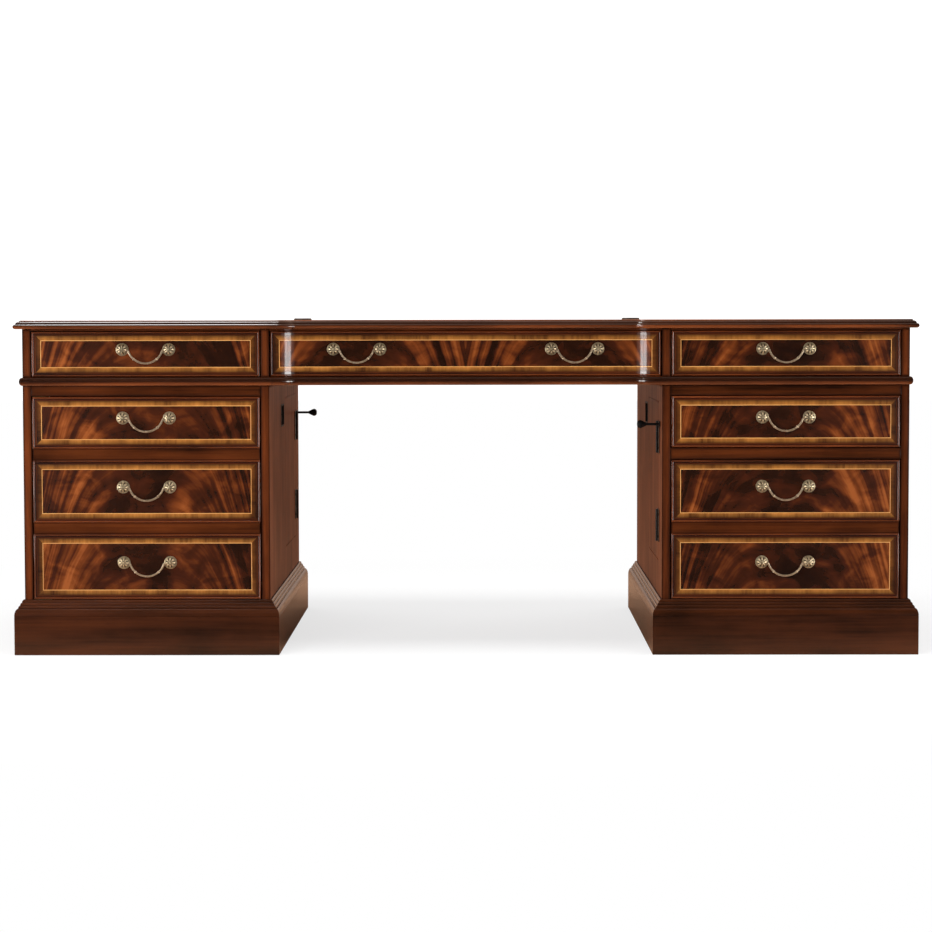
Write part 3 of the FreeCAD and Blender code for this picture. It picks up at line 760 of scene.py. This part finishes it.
def flame_figure():
    # Crotch mahogany: level lines arch over the middle and run steeply down at both ends, dark in the core.
    tree, given, result = group("flame_figure", Figure="Vector")
    across, up, seed = add(tree, "SeparateXYZ", Vector=given["Figure"]).outputs
    away = calc("ABSOLUTE", across)
    wander = noise(given["Figure"], (5, 5, 1), 2)
    level = calc("MULTIPLY_ADD", calc("POWER", away, 2.9), 22.0, up)
    level = calc("MULTIPLY_ADD", wander, 0.06, level)
    flow = add(tree, "CombineXYZ", X=level, Y=across, Z=seed).outputs[0]
    broad = noise(flow, (11, 6, 1), 2)
    streak = noise(flow, (30, 7, 1), 2, 0.5)
    cloud = noise(given["Figure"], (19, 23, 1), 3, 0.5, 0.7)
    fibre = noise(flow, (200, 14, 1), 2)
    strength = spread(away, 0.05, 0.18, 0.5, 1.4, True)
    tone = calc("MULTIPLY", calc("SUBTRACT", streak, 0.5), strength)
    tone = calc("MULTIPLY_ADD", broad, 1.2, tone)
    tone = calc("MULTIPLY_ADD", cloud, 1.1, tone)
    tone = calc("MULTIPLY_ADD", fibre, 0.15, tone)
    tone = calc("SUBTRACT", tone, spread(away, 0.02, 0.17, 0.95, 0.72, True))
    tone = calc("ADD", tone, spread(across, -0.22, 0.22, 0.06, -0.1))
    ramp = add(tree, "ValToRGB", Fac=tone)
    stops = ((0.0, (30, 11, 4)), (0.2, (40, 16, 5)), (0.45, (64, 26, 9)), (0.7, (106, 49, 17)),
             (1.0, (150, 79, 33)))
    for place, color in stops[1:-1]:
        ramp.color_ramp.elements.new(place)
    for element, (place, color) in zip(ramp.color_ramp.elements, stops):
        element.position = place
        element.color = shade(*color)
    give(result, ramp.outputs["Color"], spread(fibre, 0.2, 0.8, 0.4, 0.5), fibre)
    return tree


flame_mahogany, tree = new_material("flame_mahogany")
flame = place_group(tree, flame_figure(), Figure=attribute(tree, "grain", "Vector"))
finish(*flame, coat=0.85, bump=0.04)
front_materials = [
    rail_mahogany,
    mahogany("bead_mahogany", (44, 18, 8), (114, 53, 22), 1.0, coat_roughness=0.15),
    mahogany("crossband", (82, 43, 15), (186, 118, 50), 0.85, 0.9),
    mahogany("stringing", (206, 142, 74), (236, 176, 104), 0.85),
    flame_mahogany,
    mahogany("upright_crossband", (52, 25, 8), (118, 66, 25), 0.85, 0.9),
]


def slice_at(level, axis):
    bpy.ops.mesh.select_all(action="SELECT")
    direction = {"X": (1, 0, 0), "Z": (0, 0, 1)}[axis]
    bpy.ops.mesh.bisect(plane_co=Vector(direction) * level, plane_no=direction)


def worked_front(x0, x1, face_y, thickness, faces, figure, cuts=()):
    # Front board with its drawer faces worked on it. The figure function places the flame on a face.
    z0, z1 = faces[0][0], faces[-1][1]
    piece = block((x0, face_y, z0), (x1, face_y + thickness, z1))
    edit(piece)
    for level in sorted({level for face in faces for level in face} - {z0, z1}):
        slice_at(level, "Z")
    for low, high in faces:
        def rim(centre):
            return min(centre.x - x0, x1 - centre.x, centre.z - low, high - centre.z)

        def on_face(centre, normal):
            return normal.y < -front_facing and low < centre.z < high

        select_faces(piece, on_face)
        bpy.ops.mesh.inset(thickness=bead_width, depth=0)
        select_faces(piece, lambda centre, normal: on_face(centre, normal) and rim(centre) < bead_width)
        push(0, -bead_proud, 0)
        bpy.ops.mesh.region_to_loop()
        bpy.ops.mesh.bevel(offset=bead_rounding, segments=4, affect="EDGES")
        select_faces(piece, lambda centre, normal: on_face(centre, normal) and rim(centre) > bead_width)
        for width in (margin_width, band_width, string_width):
            bpy.ops.mesh.inset(thickness=width, depth=0)
    rails = [(below[1], above[0]) for below, above in zip(faces, faces[1:])]
    for low, high in rails:
        select_faces(piece, lambda centre, normal: normal.y < -front_facing and low < centre.z < high)
        bpy.ops.mesh.inset(thickness=rail_painted_shade, depth=0)
    for level in cuts:
        slice_at(level, "X")
    leave(piece, smooth_degrees=30)
    mesh = piece.data
    centres, normals = read(mesh.polygons, "center"), read(mesh.polygons, "normal")
    totals = read(mesh.polygons, "loop_total", 1)
    points = corner_points(mesh)
    kinds = np.zeros(len(mesh.polygons), dtype=int)
    grain = points + next(board_numbers) * board_shift
    stain_and_shade = np.zeros(len(points))
    reach = bead_width + margin_width
    for low, high in faces:
        def margins(places):
            beside = np.minimum(places[:, 0] - x0, x1 - places[:, 0])
            return beside, np.minimum(places[:, 2] - low, high - places[:, 2])

        beside, over = margins(centres)
        rim = np.minimum(beside, over)
        proud = (centres[:, 1] < face_y - hair) & (over > -hair)
        flush = (normals[:, 1] < -front_facing) & (over > 0) & ~proud
        band_kind = 1 + (rim > reach) + (rim > reach + band_width) + (rim > reach + band_width + string_width)
        kinds = np.where(proud, 1, np.where(flush, band_kind, kinds))
        along_z = (proud | flush) & ((beside < over) != (kinds == 2)) & (kinds < 4)
        shift = next(board_numbers) * board_shift
        grain = np.where(np.repeat(along_z, totals)[:, None], points[:, grain_orders["Z"]] + shift, grain)
        flame = np.repeat(flush & (kinds == 4), totals)
        grain[flame] = figure(points[flame] - np.array([0, 0, (low + high) / 2]))
        from_rim = np.minimum(*margins(points))
        framed, banded = (np.repeat(flush & (kinds == kind), totals) for kind in (1, 2))
        # Painted shade on the margin, darkest at the bead's foot; the crossband darker towards its outer edge.
        stain_and_shade = np.where(framed, 1 - margin_fade * (from_rim - bead_width) / margin_width, stain_and_shade)
        stain_and_shade = np.where(banded, (reach + band_width - from_rim) / band_width, stain_and_shade)
        kinds = np.where(flush & (kinds == 2) & (beside < over), 5, kinds)
    # Painted shade along the top and bottom of each rail, beside the beads above and below it.
    for low, high in rails:
        level = centres[:, 2]
        on_rail = np.repeat((normals[:, 1] < -front_facing) & (level > low) & (level < high), totals)
        stain_and_shade = np.where(on_rail, 1 - np.minimum(points[:, 2] - low, high - points[:, 2]) / rail_painted_shade, stain_and_shade)
    mesh.polygons.foreach_set("material_index", kinds.astype(np.int32))
    store_grain(mesh, grain)
    store_stain_and_shade(mesh, stain_and_shade)
    for material in front_materials:
        mesh.materials.append(material)
    return piece


def wrap(piece):
    # Bends a straight front onto the S-curves of the centre section.
    for vertex in piece.data.vertices:
        along, out = abs(vertex.co.x), recess_y - vertex.co.y
        side = 1 if vertex.co.x > 0 else -1
        past = along - curve_end
        if past <= 0:
            angle, x, y = 0, along, recess_y
        elif past <= curve_length:
            angle = past / curve_radius
            x = curve_end + curve_radius * math.sin(angle)
            y = recess_y - curve_radius * (1 - math.cos(angle))
        else:
            angle = max(curve_turn - (past - curve_length) / curve_radius, 0)
            x = curve_start - curve_radius * math.sin(angle) + max(past - 2 * curve_length, 0)
            y = flat_y + curve_radius * (1 - math.cos(angle))
        vertex.co.x = side * (x - out * math.sin(angle))
        vertex.co.y = y - out * math.cos(angle)
    return piece


def end_flame(side):
    # Flame on a pedestal's face, brightest towards the desk's end.
    def figure(points):
        middle = (front_x0 + front_x1) / 2
        seed = flame_step * next(board_numbers)
        return np.column_stack((points[:, 0] * -side + middle, points[:, 2], np.full(len(points), seed)))
    return figure


def book_flame(points):
    # Two leaves opened like a book, mirrored at the seam in the middle.
    return np.column_stack((np.abs(points[:, 0]) - seam_x, points[:, 2], np.full(len(points), book_seed)))


def end_front(side, thickness, faces):
    ends_x = sorted((side * front_x0, side * front_x1))
    return worked_front(*ends_x, -case_y, thickness, faces, end_flame(side))


frieze_face = (frieze_z + level_gap, frieze_top_z - level_gap)
top_face = (upper_face[0] + level_gap, upper_face[1] - level_gap)
file_faces = [(base_z + level_gap, lower_face[1]), (middle_face[0], middle_face[1] - level_gap)]
door_faces = [(base_z + level_gap, lower_face[1]), middle_face, (upper_face[0], upper_face[1] - level_gap)]
centre_x = knee_x - front_gap
centre_half = curve_end + 2 * curve_length + centre_x - curve_start
centre_cuts = [0]
for number in range(slices + 1):
    cut_x = curve_end + 2 * curve_length * number / slices
    centre_cuts += [cut_x, -cut_x]
fronts = {
    "left_frieze_drawer": end_front(-1, front_thickness, [frieze_face]),
    "right_frieze_drawer": end_front(1, front_thickness, [frieze_face]),
    "centre_frieze_drawer": wrap(worked_front(-centre_half, centre_half, recess_y, front_thickness, [frieze_face],
                                              book_flame, centre_cuts)),
    "top_drawer": end_front(1, front_thickness, [top_face]),
    "file_drawer": end_front(1, front_thickness, file_faces),
    "cupboard_door": end_front(-1, door_thickness, door_faces),
}
for name, front in fronts.items():
    seat_both(front, "{}_" + name + "_face", "{}_" + name, "flame_mahogany", None, "{}_" + name)

# Drawer boxes
# Sides, back and bottom of pale lining wood behind each front, grooved together and left unpolished. A box
# slides on runners in the pedestal, or on the floor of the frieze.
lining_wood = mahogany("lining_wood", (150, 108, 68), (196, 154, 106), 0.03, 0.15)
box_board, box_floor, box_floor_lift, box_drop = 0.012, 0.008, 0.006, 0.014
box_back_room = 0.015
box_back_y = -divider_y - box_back_room
running_gap = 0.0003
box_side_room = 0.004


def drawer_box(x0, x1, side_y, floor_y, z0, z1):
    inside_y = box_back_y - box_board
    floor_z = z0 + box_floor_lift
    return [
        board((x0, side_y, z0), (x0 + box_board, box_back_y, z1), "Y"),
        board((x1 - box_board, side_y, z0), (x1, box_back_y, z1), "Y"),
        board((x0 + box_board, inside_y, z0), (x1 - box_board, box_back_y, z1), "X"),
        board((x0 + box_board, floor_y, floor_z), (x1 - box_board, inside_y, floor_z + box_floor), "X"),
    ]


box_y = (-case_y + front_thickness, -case_y + front_thickness)
centre_box_y = (flat_y + front_thickness, recess_y + front_thickness)
chest_x = (chase_far_x + box_side_room, outer_x - box_side_room)
frieze_box_z = (frieze_z + running_gap, frieze_face[1] - box_drop)
boxes = {
    "left_frieze_drawer": drawer_box(-front_x1, -front_x0, *box_y, *frieze_box_z),
    "right_frieze_drawer": drawer_box(front_x0, front_x1, *box_y, *frieze_box_z),
    "centre_frieze_drawer": drawer_box(-centre_x, centre_x, *centre_box_y, *frieze_box_z),
    "top_drawer": drawer_box(*chest_x, *box_y, upper_face[0] + running_gap, top_face[1] - box_drop),
    "file_drawer": drawer_box(*chest_x, *box_y, base_z + file_runner_height + running_gap,
                              file_faces[1][1] - box_drop),
}
for name, boards in boxes.items():
    drawer = join("drawer", boards)
    seat_both(drawer, "{}_" + name + "_box", "{}_" + name, "mahogany", lining_wood, "{}_" + name)

# Pulls
# Swan-neck pulls in cast brass with an aged finish: two domed rosettes chased with petals, and a bail
# with two collars, whose ends turn in the rosettes' inner flanks.
grime = (34, 25, 16)
rosette_brass = speckled("rosette_brass", (140, 124, 94), (211, 195, 162), 0.34, 0.75, 260, 0.4, grime)
bail_brass = speckled("bail_brass", (132, 114, 90), (195, 176, 149), 0.34, 0.75, 260, 0.4)
pull_half, pull_rise = 0.055, 0.0105
bail_standoff, bail_sink = 0.007, 0.002
petals = 8
petal_foot, petal_tip = 0.0044, 0.0128
petal_sink, petal_draw, petal_fullness, petal_grime = 0.0016, 0.10, 0.6, 1.5
groove_foot, groove_tip, groove_grime = 0.0032, 0.0042, 0.8
rosette_profile = metres([(15, 0), (15, 1.2), (14.6, 1.9), (13.8, 2.2), (13.1, 1.8), (12.7, 3), (12.5, 4.6),
                          (12, 6.4), (11.2, 8), (10.1, 9.4), (8.8, 10.6), (7.3, 11.6), (5.8, 12.2), (4.6, 12.4),
                          (4, 11.8), (3.4, 11.8), (3, 12.6), (2, 13), (0.8, 13.1)])
rosette = turned(rosette_profile, (0, -1, 0), (0, 0, 0), sides=64)
edit(rosette)
bpy.ops.mesh.remove_doubles(threshold=weld)
leave(rosette, smooth_degrees=50)
hollows = []
for vertex in rosette.data.vertices:
    reach = math.hypot(vertex.co.x, vertex.co.z)
    angle = math.atan2(vertex.co.z, vertex.co.x)
    relief = 0.0
    if petal_foot < reach < petal_tip:
        along = (reach - petal_foot) / (petal_tip - petal_foot)
        relief = max(0.0, -math.cos(petals * angle)) * math.sin(math.pi * along) ** petal_fullness
        vertex.co.x *= 1 - petal_draw * relief
        vertex.co.z *= 1 - petal_draw * relief
        vertex.co.y += petal_sink * relief
    groove = groove_grime if groove_foot < reach < groove_tip else 0.0
    hollows.append(max(min(1, relief * petal_grime), groove))
recess = rosette.data.attributes.new("recess", "FLOAT", "POINT")
recess.data.foreach_set("value", hollows)

wire, wire_sides = 0.0023, 14
bail_inset, pin_inset = 0.0125, 0.004
bail_span, bail_pin = pull_half - bail_inset, pull_half - pin_inset
bail_elbow, bail_reach = 0.003, 0.0305
elbow_steps, bow_steps = 5, 28
bail_sweep = 2 * math.atan(bail_reach / bail_span)
bail_bow = bail_span / math.sin(bail_sweep) - bail_elbow
bpy.ops.mesh.primitive_circle_add(vertices=wire_sides, radius=wire, fill_type="NGON",
                                  rotation=(0, math.pi / 2, 0), location=(-bail_pin, 0, 0))
bail = placed()
edit(bail)
push(bail_pin - bail_span, 0, 0)
bpy.ops.mesh.spin(steps=elbow_steps, angle=bail_sweep, center=(-bail_span, 0, -bail_elbow), axis=(0, -1, 0))
bpy.ops.mesh.spin(steps=bow_steps, angle=-2 * bail_sweep, center=(0, 0, bail_bow - bail_reach), axis=(0, -1, 0))
bpy.ops.mesh.spin(steps=elbow_steps, angle=bail_sweep, center=(bail_span, 0, -bail_elbow), axis=(0, -1, 0))
push(bail_pin - bail_span, 0, 0)
bpy.ops.mesh.select_all(action="SELECT")
bpy.ops.mesh.remove_doubles(threshold=weld)
bpy.ops.mesh.normals_make_consistent(inside=False)
leave(bail, smooth_degrees=60)
collar_share = 0.57
collar_steps = metres([(0, -2), (0.8, -1.3), (1.3, 0), (0.8, 1.3), (0, 2)])
collar_profile = [(wire + swell, along) for swell, along in collar_steps]
collars = []
for side in (-1, 1):
    lean = side * collar_share * bail_sweep
    place = (bail_bow * math.sin(lean), 0, bail_bow - bail_reach - bail_bow * math.cos(lean))
    collars.append(turned(collar_profile, (math.cos(lean), 0, math.sin(lean)), place, wire_sides))
bail = join("bail", [bail, *collars])


def pull_z(face):
    return sum(face) / 2 + pull_rise


mid_x = (inner_x + outer_x) / 2
frieze_pull_z = pull_z((frieze_z, frieze_top_z))
pulls = {
    "left_frieze_drawer": {"bail": (-mid_x, frieze_pull_z)},
    "centre_frieze_drawer": {"left_bail": (-seam_x, frieze_pull_z), "right_bail": (seam_x, frieze_pull_z)},
    "right_frieze_drawer": {"bail": (mid_x, frieze_pull_z)},
    "top_drawer": {"bail": (mid_x, pull_z(upper_face))},
    "file_drawer": {"upper_bail": (mid_x, pull_z(middle_face)), "lower_bail": (mid_x, pull_z(lower_face))},
    "cupboard_door": {"upper_bail": (-mid_x, pull_z(upper_face)), "middle_bail": (-mid_x, pull_z(middle_face)),
                      "lower_bail": (-mid_x, pull_z(lower_face))},
}
for name, places in pulls.items():
    face_y = recess_y if name == "centre_frieze_drawer" else -case_y
    bosses = []
    for bail_name, (x, z) in places.items():
        for side in (-1, 1):
            bosses.append(copy_as(rosette, "boss", Matrix.Translation((x + side * pull_half, face_y, z))))
        node = "{}_" + name + "_" + bail_name
        swing = copy_as(bail, "swing", Matrix.Translation((x, face_y - bail_standoff, z - bail_sink)))
        seat_both(swing, node + "_wire", node, "old_brass", bail_brass, node)
    seat_both(join("bosses", bosses), "{}_" + name + "_bosses", "{}_" + name, "old_brass", rosette_brass,
              "{}_" + name + "_rosettes")
bpy.data.objects.remove(rosette)
bpy.data.objects.remove(bail)

# Side doors and their hinges
# A flush mahogany door in each kneehole panel, on two black iron butt hinges screwed to the faces, three
# screws to a leaf.
black_iron = speckled("black_iron", (8, 7, 7), (16, 14, 14), 0.36, 0.0)
side_door = board(door_low, door_high, "Z")
store_stain_and_shade(side_door.data, np.zeros(len(side_door.data.loops)))
# The door takes the lit copy of the kneehole wood, a painted reflection.
seat_both(side_door, "{}_cable_door", "{}_side_door", "mahogany", lit_kneehole_mahogany, "{}_side_door")
hinge_set, hinge_spread, hinge_height = 0.001, 0.106, 0.077
hinge_y = door_low.y - hinge_set
barrel_radius, barrel_end, barrel_bevel, barrel_room = 0.0035, 0.0031, 0.0005, 0.0002
hinge_x = knee_x - barrel_radius - barrel_room
leaf_width, leaf_thickness, leaf_root, leaf_arris = 0.031, 0.002, 0.004, 0.0005
tab_width, tab_arris = 0.0045, 0.0003
hinge_mid_z = (door_low.z + door_high.z - hinge_height) / 2
hinge_feet = [hinge_mid_z - hinge_spread, hinge_mid_z + hinge_spread]
knuckle_step, knuckle_gap = hinge_height / 3, 0.00015
knuckle_height = knuckle_step - 2 * knuckle_gap
knuckle_profile = [(barrel_end, 0), (barrel_radius, barrel_bevel), (barrel_radius, knuckle_height - barrel_bevel),
                   (barrel_end, knuckle_height)]
screw_profile = metres([(3.4, 0), (3.4, 0.3), (2.6, 0.9)])
screws = metres([(12, 22), (38.5, 15), (65, 22)])


def hinge_leaf(way, knuckles):
    def plate(near, far, z0, z1, edge):
        y0, y1 = sorted((hinge_y + way * near, hinge_y + way * far))
        return board((knee_x - leaf_thickness, y0, z0), (knee_x, y1, z1), "Z", edge)

    pieces = []
    for foot in hinge_feet:
        pieces.append(plate(leaf_root, leaf_width, foot, foot + hinge_height, leaf_arris))
        for knuckle in knuckles:
            knuckle_z = foot + knuckle * knuckle_step + knuckle_gap
            pieces.append(turned(knuckle_profile, (0, 0, 1), (hinge_x, hinge_y, knuckle_z), sides=24))
            pieces.append(plate(0, tab_width, knuckle_z, knuckle_z + knuckle_height, tab_arris))
        for rise, out in screws:
            place = (knee_x - leaf_thickness, hinge_y + way * out, foot + rise)
            pieces.append(turned(screw_profile, (-1, 0, 0), place, sides=20))
    return pieces


fixed_leaves = join("fixed_leaves", hinge_leaf(-1, (0, 2)))
door_leaves = join("door_leaves", hinge_leaf(1, (1,)))
seat_both(fixed_leaves, "{}_fixed_leaves", "desk", "black_iron", black_iron, "side_hinge_leaves")
seat_both(door_leaves, "{}_door_leaves", "{}_side_door", "black_iron", black_iron, "{}_side_door_leaves")

# Door stops
# An iron rod on a round foot beside each side door, with a flared rubber bumper, rounded at its end, pushed
# over its tip.
black_rubber = speckled("black_rubber", (10, 10, 10), (18, 17, 17), 0.6, 0.0)
stop_gap, stop_rise = 0.020, 0.071
stop_place = (knee_x, hinge_y - leaf_width - stop_gap, hinge_feet[1] + stop_rise)
rod_profile = metres([(7, 0), (7, 2), (6, 3), (3.2, 3.6), (3, 5), (3, 34)])
bumper_profile = metres([(3.6, 33), (4.2, 34.5), (5.8, 38), (8, 42.5), (9.4, 45.5), (9.8, 47.5), (9.5, 49.5),
                         (8.2, 52.2), (6.2, 54.2), (3.6, 55)])
rod, bumper = (turned(profile, (-1, 0, 0), stop_place, sides=28) for profile in (rod_profile, bumper_profile))
for stop, slot, material in ((rod, "black_iron", black_iron), (bumper, "black_rubber", black_rubber)):
    seat_both(stop, "{}_stop_" + slot, "desk", slot, material, "door_stops")

# Cable slots
# A black rubber liner pressed into the slot of each kneehole panel, with a thin lip on the panel's face and
# two flaps that leave a slit for cables.
lip, lip_proud = 0.0025, 0.0008
liner_wall, liner_room = 0.0015, 0.0002
flap_set, flap_thickness, slit = 0.004, 0.0015, 0.001
flap_x = knee_x + flap_set
slot_mid_z = (slot_low_z + slot_high_z) / 2


def slot_block(x0, x1, out):
    return block((x0, slot_near_y - out, slot_low_z - out), (x1, slot_far_y + out, slot_high_z + out))


opening = (knee_x - through, inner_x + through, -liner_wall)
liner = [cut(slot_block(knee_x - lip_proud, knee_x, lip), slot_block(*opening)),
         cut(slot_block(knee_x, inner_x, -liner_room), slot_block(*opening))]
for flap_z in ((slot_low_z + liner_wall, slot_mid_z - slit), (slot_mid_z + slit, slot_high_z - liner_wall)):
    liner.append(board((flap_x, slot_near_y + liner_wall, flap_z[0]),
                       (flap_x + flap_thickness, slot_far_y - liner_wall, flap_z[1]), "Y", thin_arris))
seat_both(join("liner", liner), "{}_slot_liner", "desk", "black_rubber", black_rubber, sides=ends)

# Cupboard pivots
# Brass plates with pins, let in above and below each cupboard door and dulled with age. They are seen only
# as a dark edge in the door's gaps, so the plates of the frame itself are shown.
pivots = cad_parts["cupboard_pivots"]
pivots.data.materials.clear()
pivots.data.materials.append(speckled("pivot_brass", (52, 38, 22), (84, 64, 38), 0.45, 0.8))

# Stage
# A white sweep with soft light from above, a key from the front left, a softbox at each side, in line with
# the front and below the top, and a strip over one end. The camera stands at the height of the desk's top.
dark_floor_y, shadow_reach, shadow_glow = (-0.95, -0.7), (1.15, 2.3), 0.7
bpy.ops.mesh.primitive_plane_add(size=40, location=(0, 0, 0))
floor = bpy.context.object
floor.name = "floor"
material, tree = new_material("sweep")
floor.data.materials.append(material)
paper = tree.nodes["Principled BSDF"]
paper.inputs["Roughness"].default_value = 0.9
paper.inputs["Specular IOR Level"].default_value = 0.0
place = add(tree, "TexCoord").outputs["Object"]
distance = tree.nodes.new("ShaderNodeVectorMath")
distance.operation = "LENGTH"
fill(distance.inputs[0], place)
rays = add(tree, "LightPath")
before_desk = spread(add(tree, "SeparateXYZ", Vector=place).outputs["Y"], *dark_floor_y, 1.0, 0.0, True)
mirrored = mixed(before_desk, shade(250, 196, 158), shade(50, 44, 40))
fill(paper.inputs["Base Color"], mixed(rays.outputs["Is Glossy Ray"], shade(240, 240, 240), mirrored))
glow_share = spread(distance.outputs["Value"], *shadow_reach, shadow_glow, 1.0, True)
glow = add(tree, "Emission", Strength=1.0)
blend = add(tree, "MixShader", Fac=calc("MULTIPLY", rays.outputs["Is Camera Ray"], glow_share))
fill(blend.inputs[1], paper.outputs[0])
fill(blend.inputs[2], glow.outputs[0])
fill(tree.nodes["Material Output"].inputs["Surface"], blend.outputs[0])

world = bpy.data.worlds.new("studio")
bpy.context.scene.world = world
world.use_nodes = True
tree = world.node_tree
sky = tree.nodes["Background"]
rays = add(tree, "LightPath")
direction = add(tree, "SeparateXYZ", Vector=add(tree, "TexCoord").outputs["Generated"])
studio = spread(direction.outputs["Y"], -0.8, -0.3, 0.04, 0.6, True)
studio = calc("ADD", studio, spread(direction.outputs["Y"], 0.1, 0.6, 0.0, 0.6, True))
seen = calc("MAXIMUM", rays.outputs["Is Camera Ray"], rays.outputs["Is Transmission Ray"])
warm = mixed(rays.outputs["Is Glossy Ray"], shade(255, 255, 255), shade(255, 218, 196))
fill(sky.inputs["Color"], warm)
fill(sky.inputs["Strength"], calc("MAXIMUM", seen, studio))

# Each lamp has its name, place, aim, size and watts. A matt one lights surfaces and the others show in polish.
lamps = [
    ("overhead", (0, -0.9, 3.4), (0, -0.3, 0.3), (4.5, 1.6), 130, True),
    ("key", (-1.8, -5.0, 2.6), (0, -0.4, 0.5), (2.4, 2.4), 150, True),
    ("side", (-2.7, -3.2, 0.4), (0, -2.8, 0.4), (6.2, 0.76), 18, False),
    ("side_core", (-2.6, -0.85, 0.4), (0, -0.85, 0.4), (2.9, 0.76), 95, False),
    ("side", (2.7, -3.2, 0.4), (0, -2.8, 0.4), (6.2, 0.76), 18, False),
    ("side_core", (2.6, -0.85, 0.4), (0, -0.85, 0.4), (2.9, 0.76), 95, False),
    ("strip", (-0.85, -0.3, 1.6), (-0.85, -0.3, 0), (0.7, 0.6), 22, False),
]
for name, place, aim, size, watts, matt in lamps:
    lamp = bpy.data.lights.new(name, "AREA")
    lamp.shape = "RECTANGLE"
    lamp.size, lamp.size_y = size
    lamp.energy = watts
    holder = bpy.data.objects.new(name, lamp)
    bpy.context.collection.objects.link(holder)
    holder.location = place
    holder.rotation_euler = (Vector(aim) - Vector(place)).to_track_quat("-Z", "Y").to_euler()
    holder.visible_diffuse, holder.visible_glossy = matt, not matt

camera_place = (0.0353, -6.9024, 0.7872)
yaw, pitch, roll = -0.0075, 0.0625, -0.0018
lens = bpy.data.cameras.new("camera")
lens.lens, lens.sensor_width = 104.8, 36
lens.shift_x, lens.shift_y = 0.0060, 0.0265
camera = bpy.data.objects.new("camera", lens)
bpy.context.collection.objects.link(camera)
stand = Matrix.Translation(camera_place)
for angle, axis in ((-yaw, "Z"), (math.pi / 2 - pitch, "X"), (roll, "Z")):
    stand = stand @ Matrix.Rotation(angle, 4, axis)
camera.matrix_world = stand
bpy.context.scene.camera = camera
bpy.context.scene.view_settings.view_transform = "Standard"
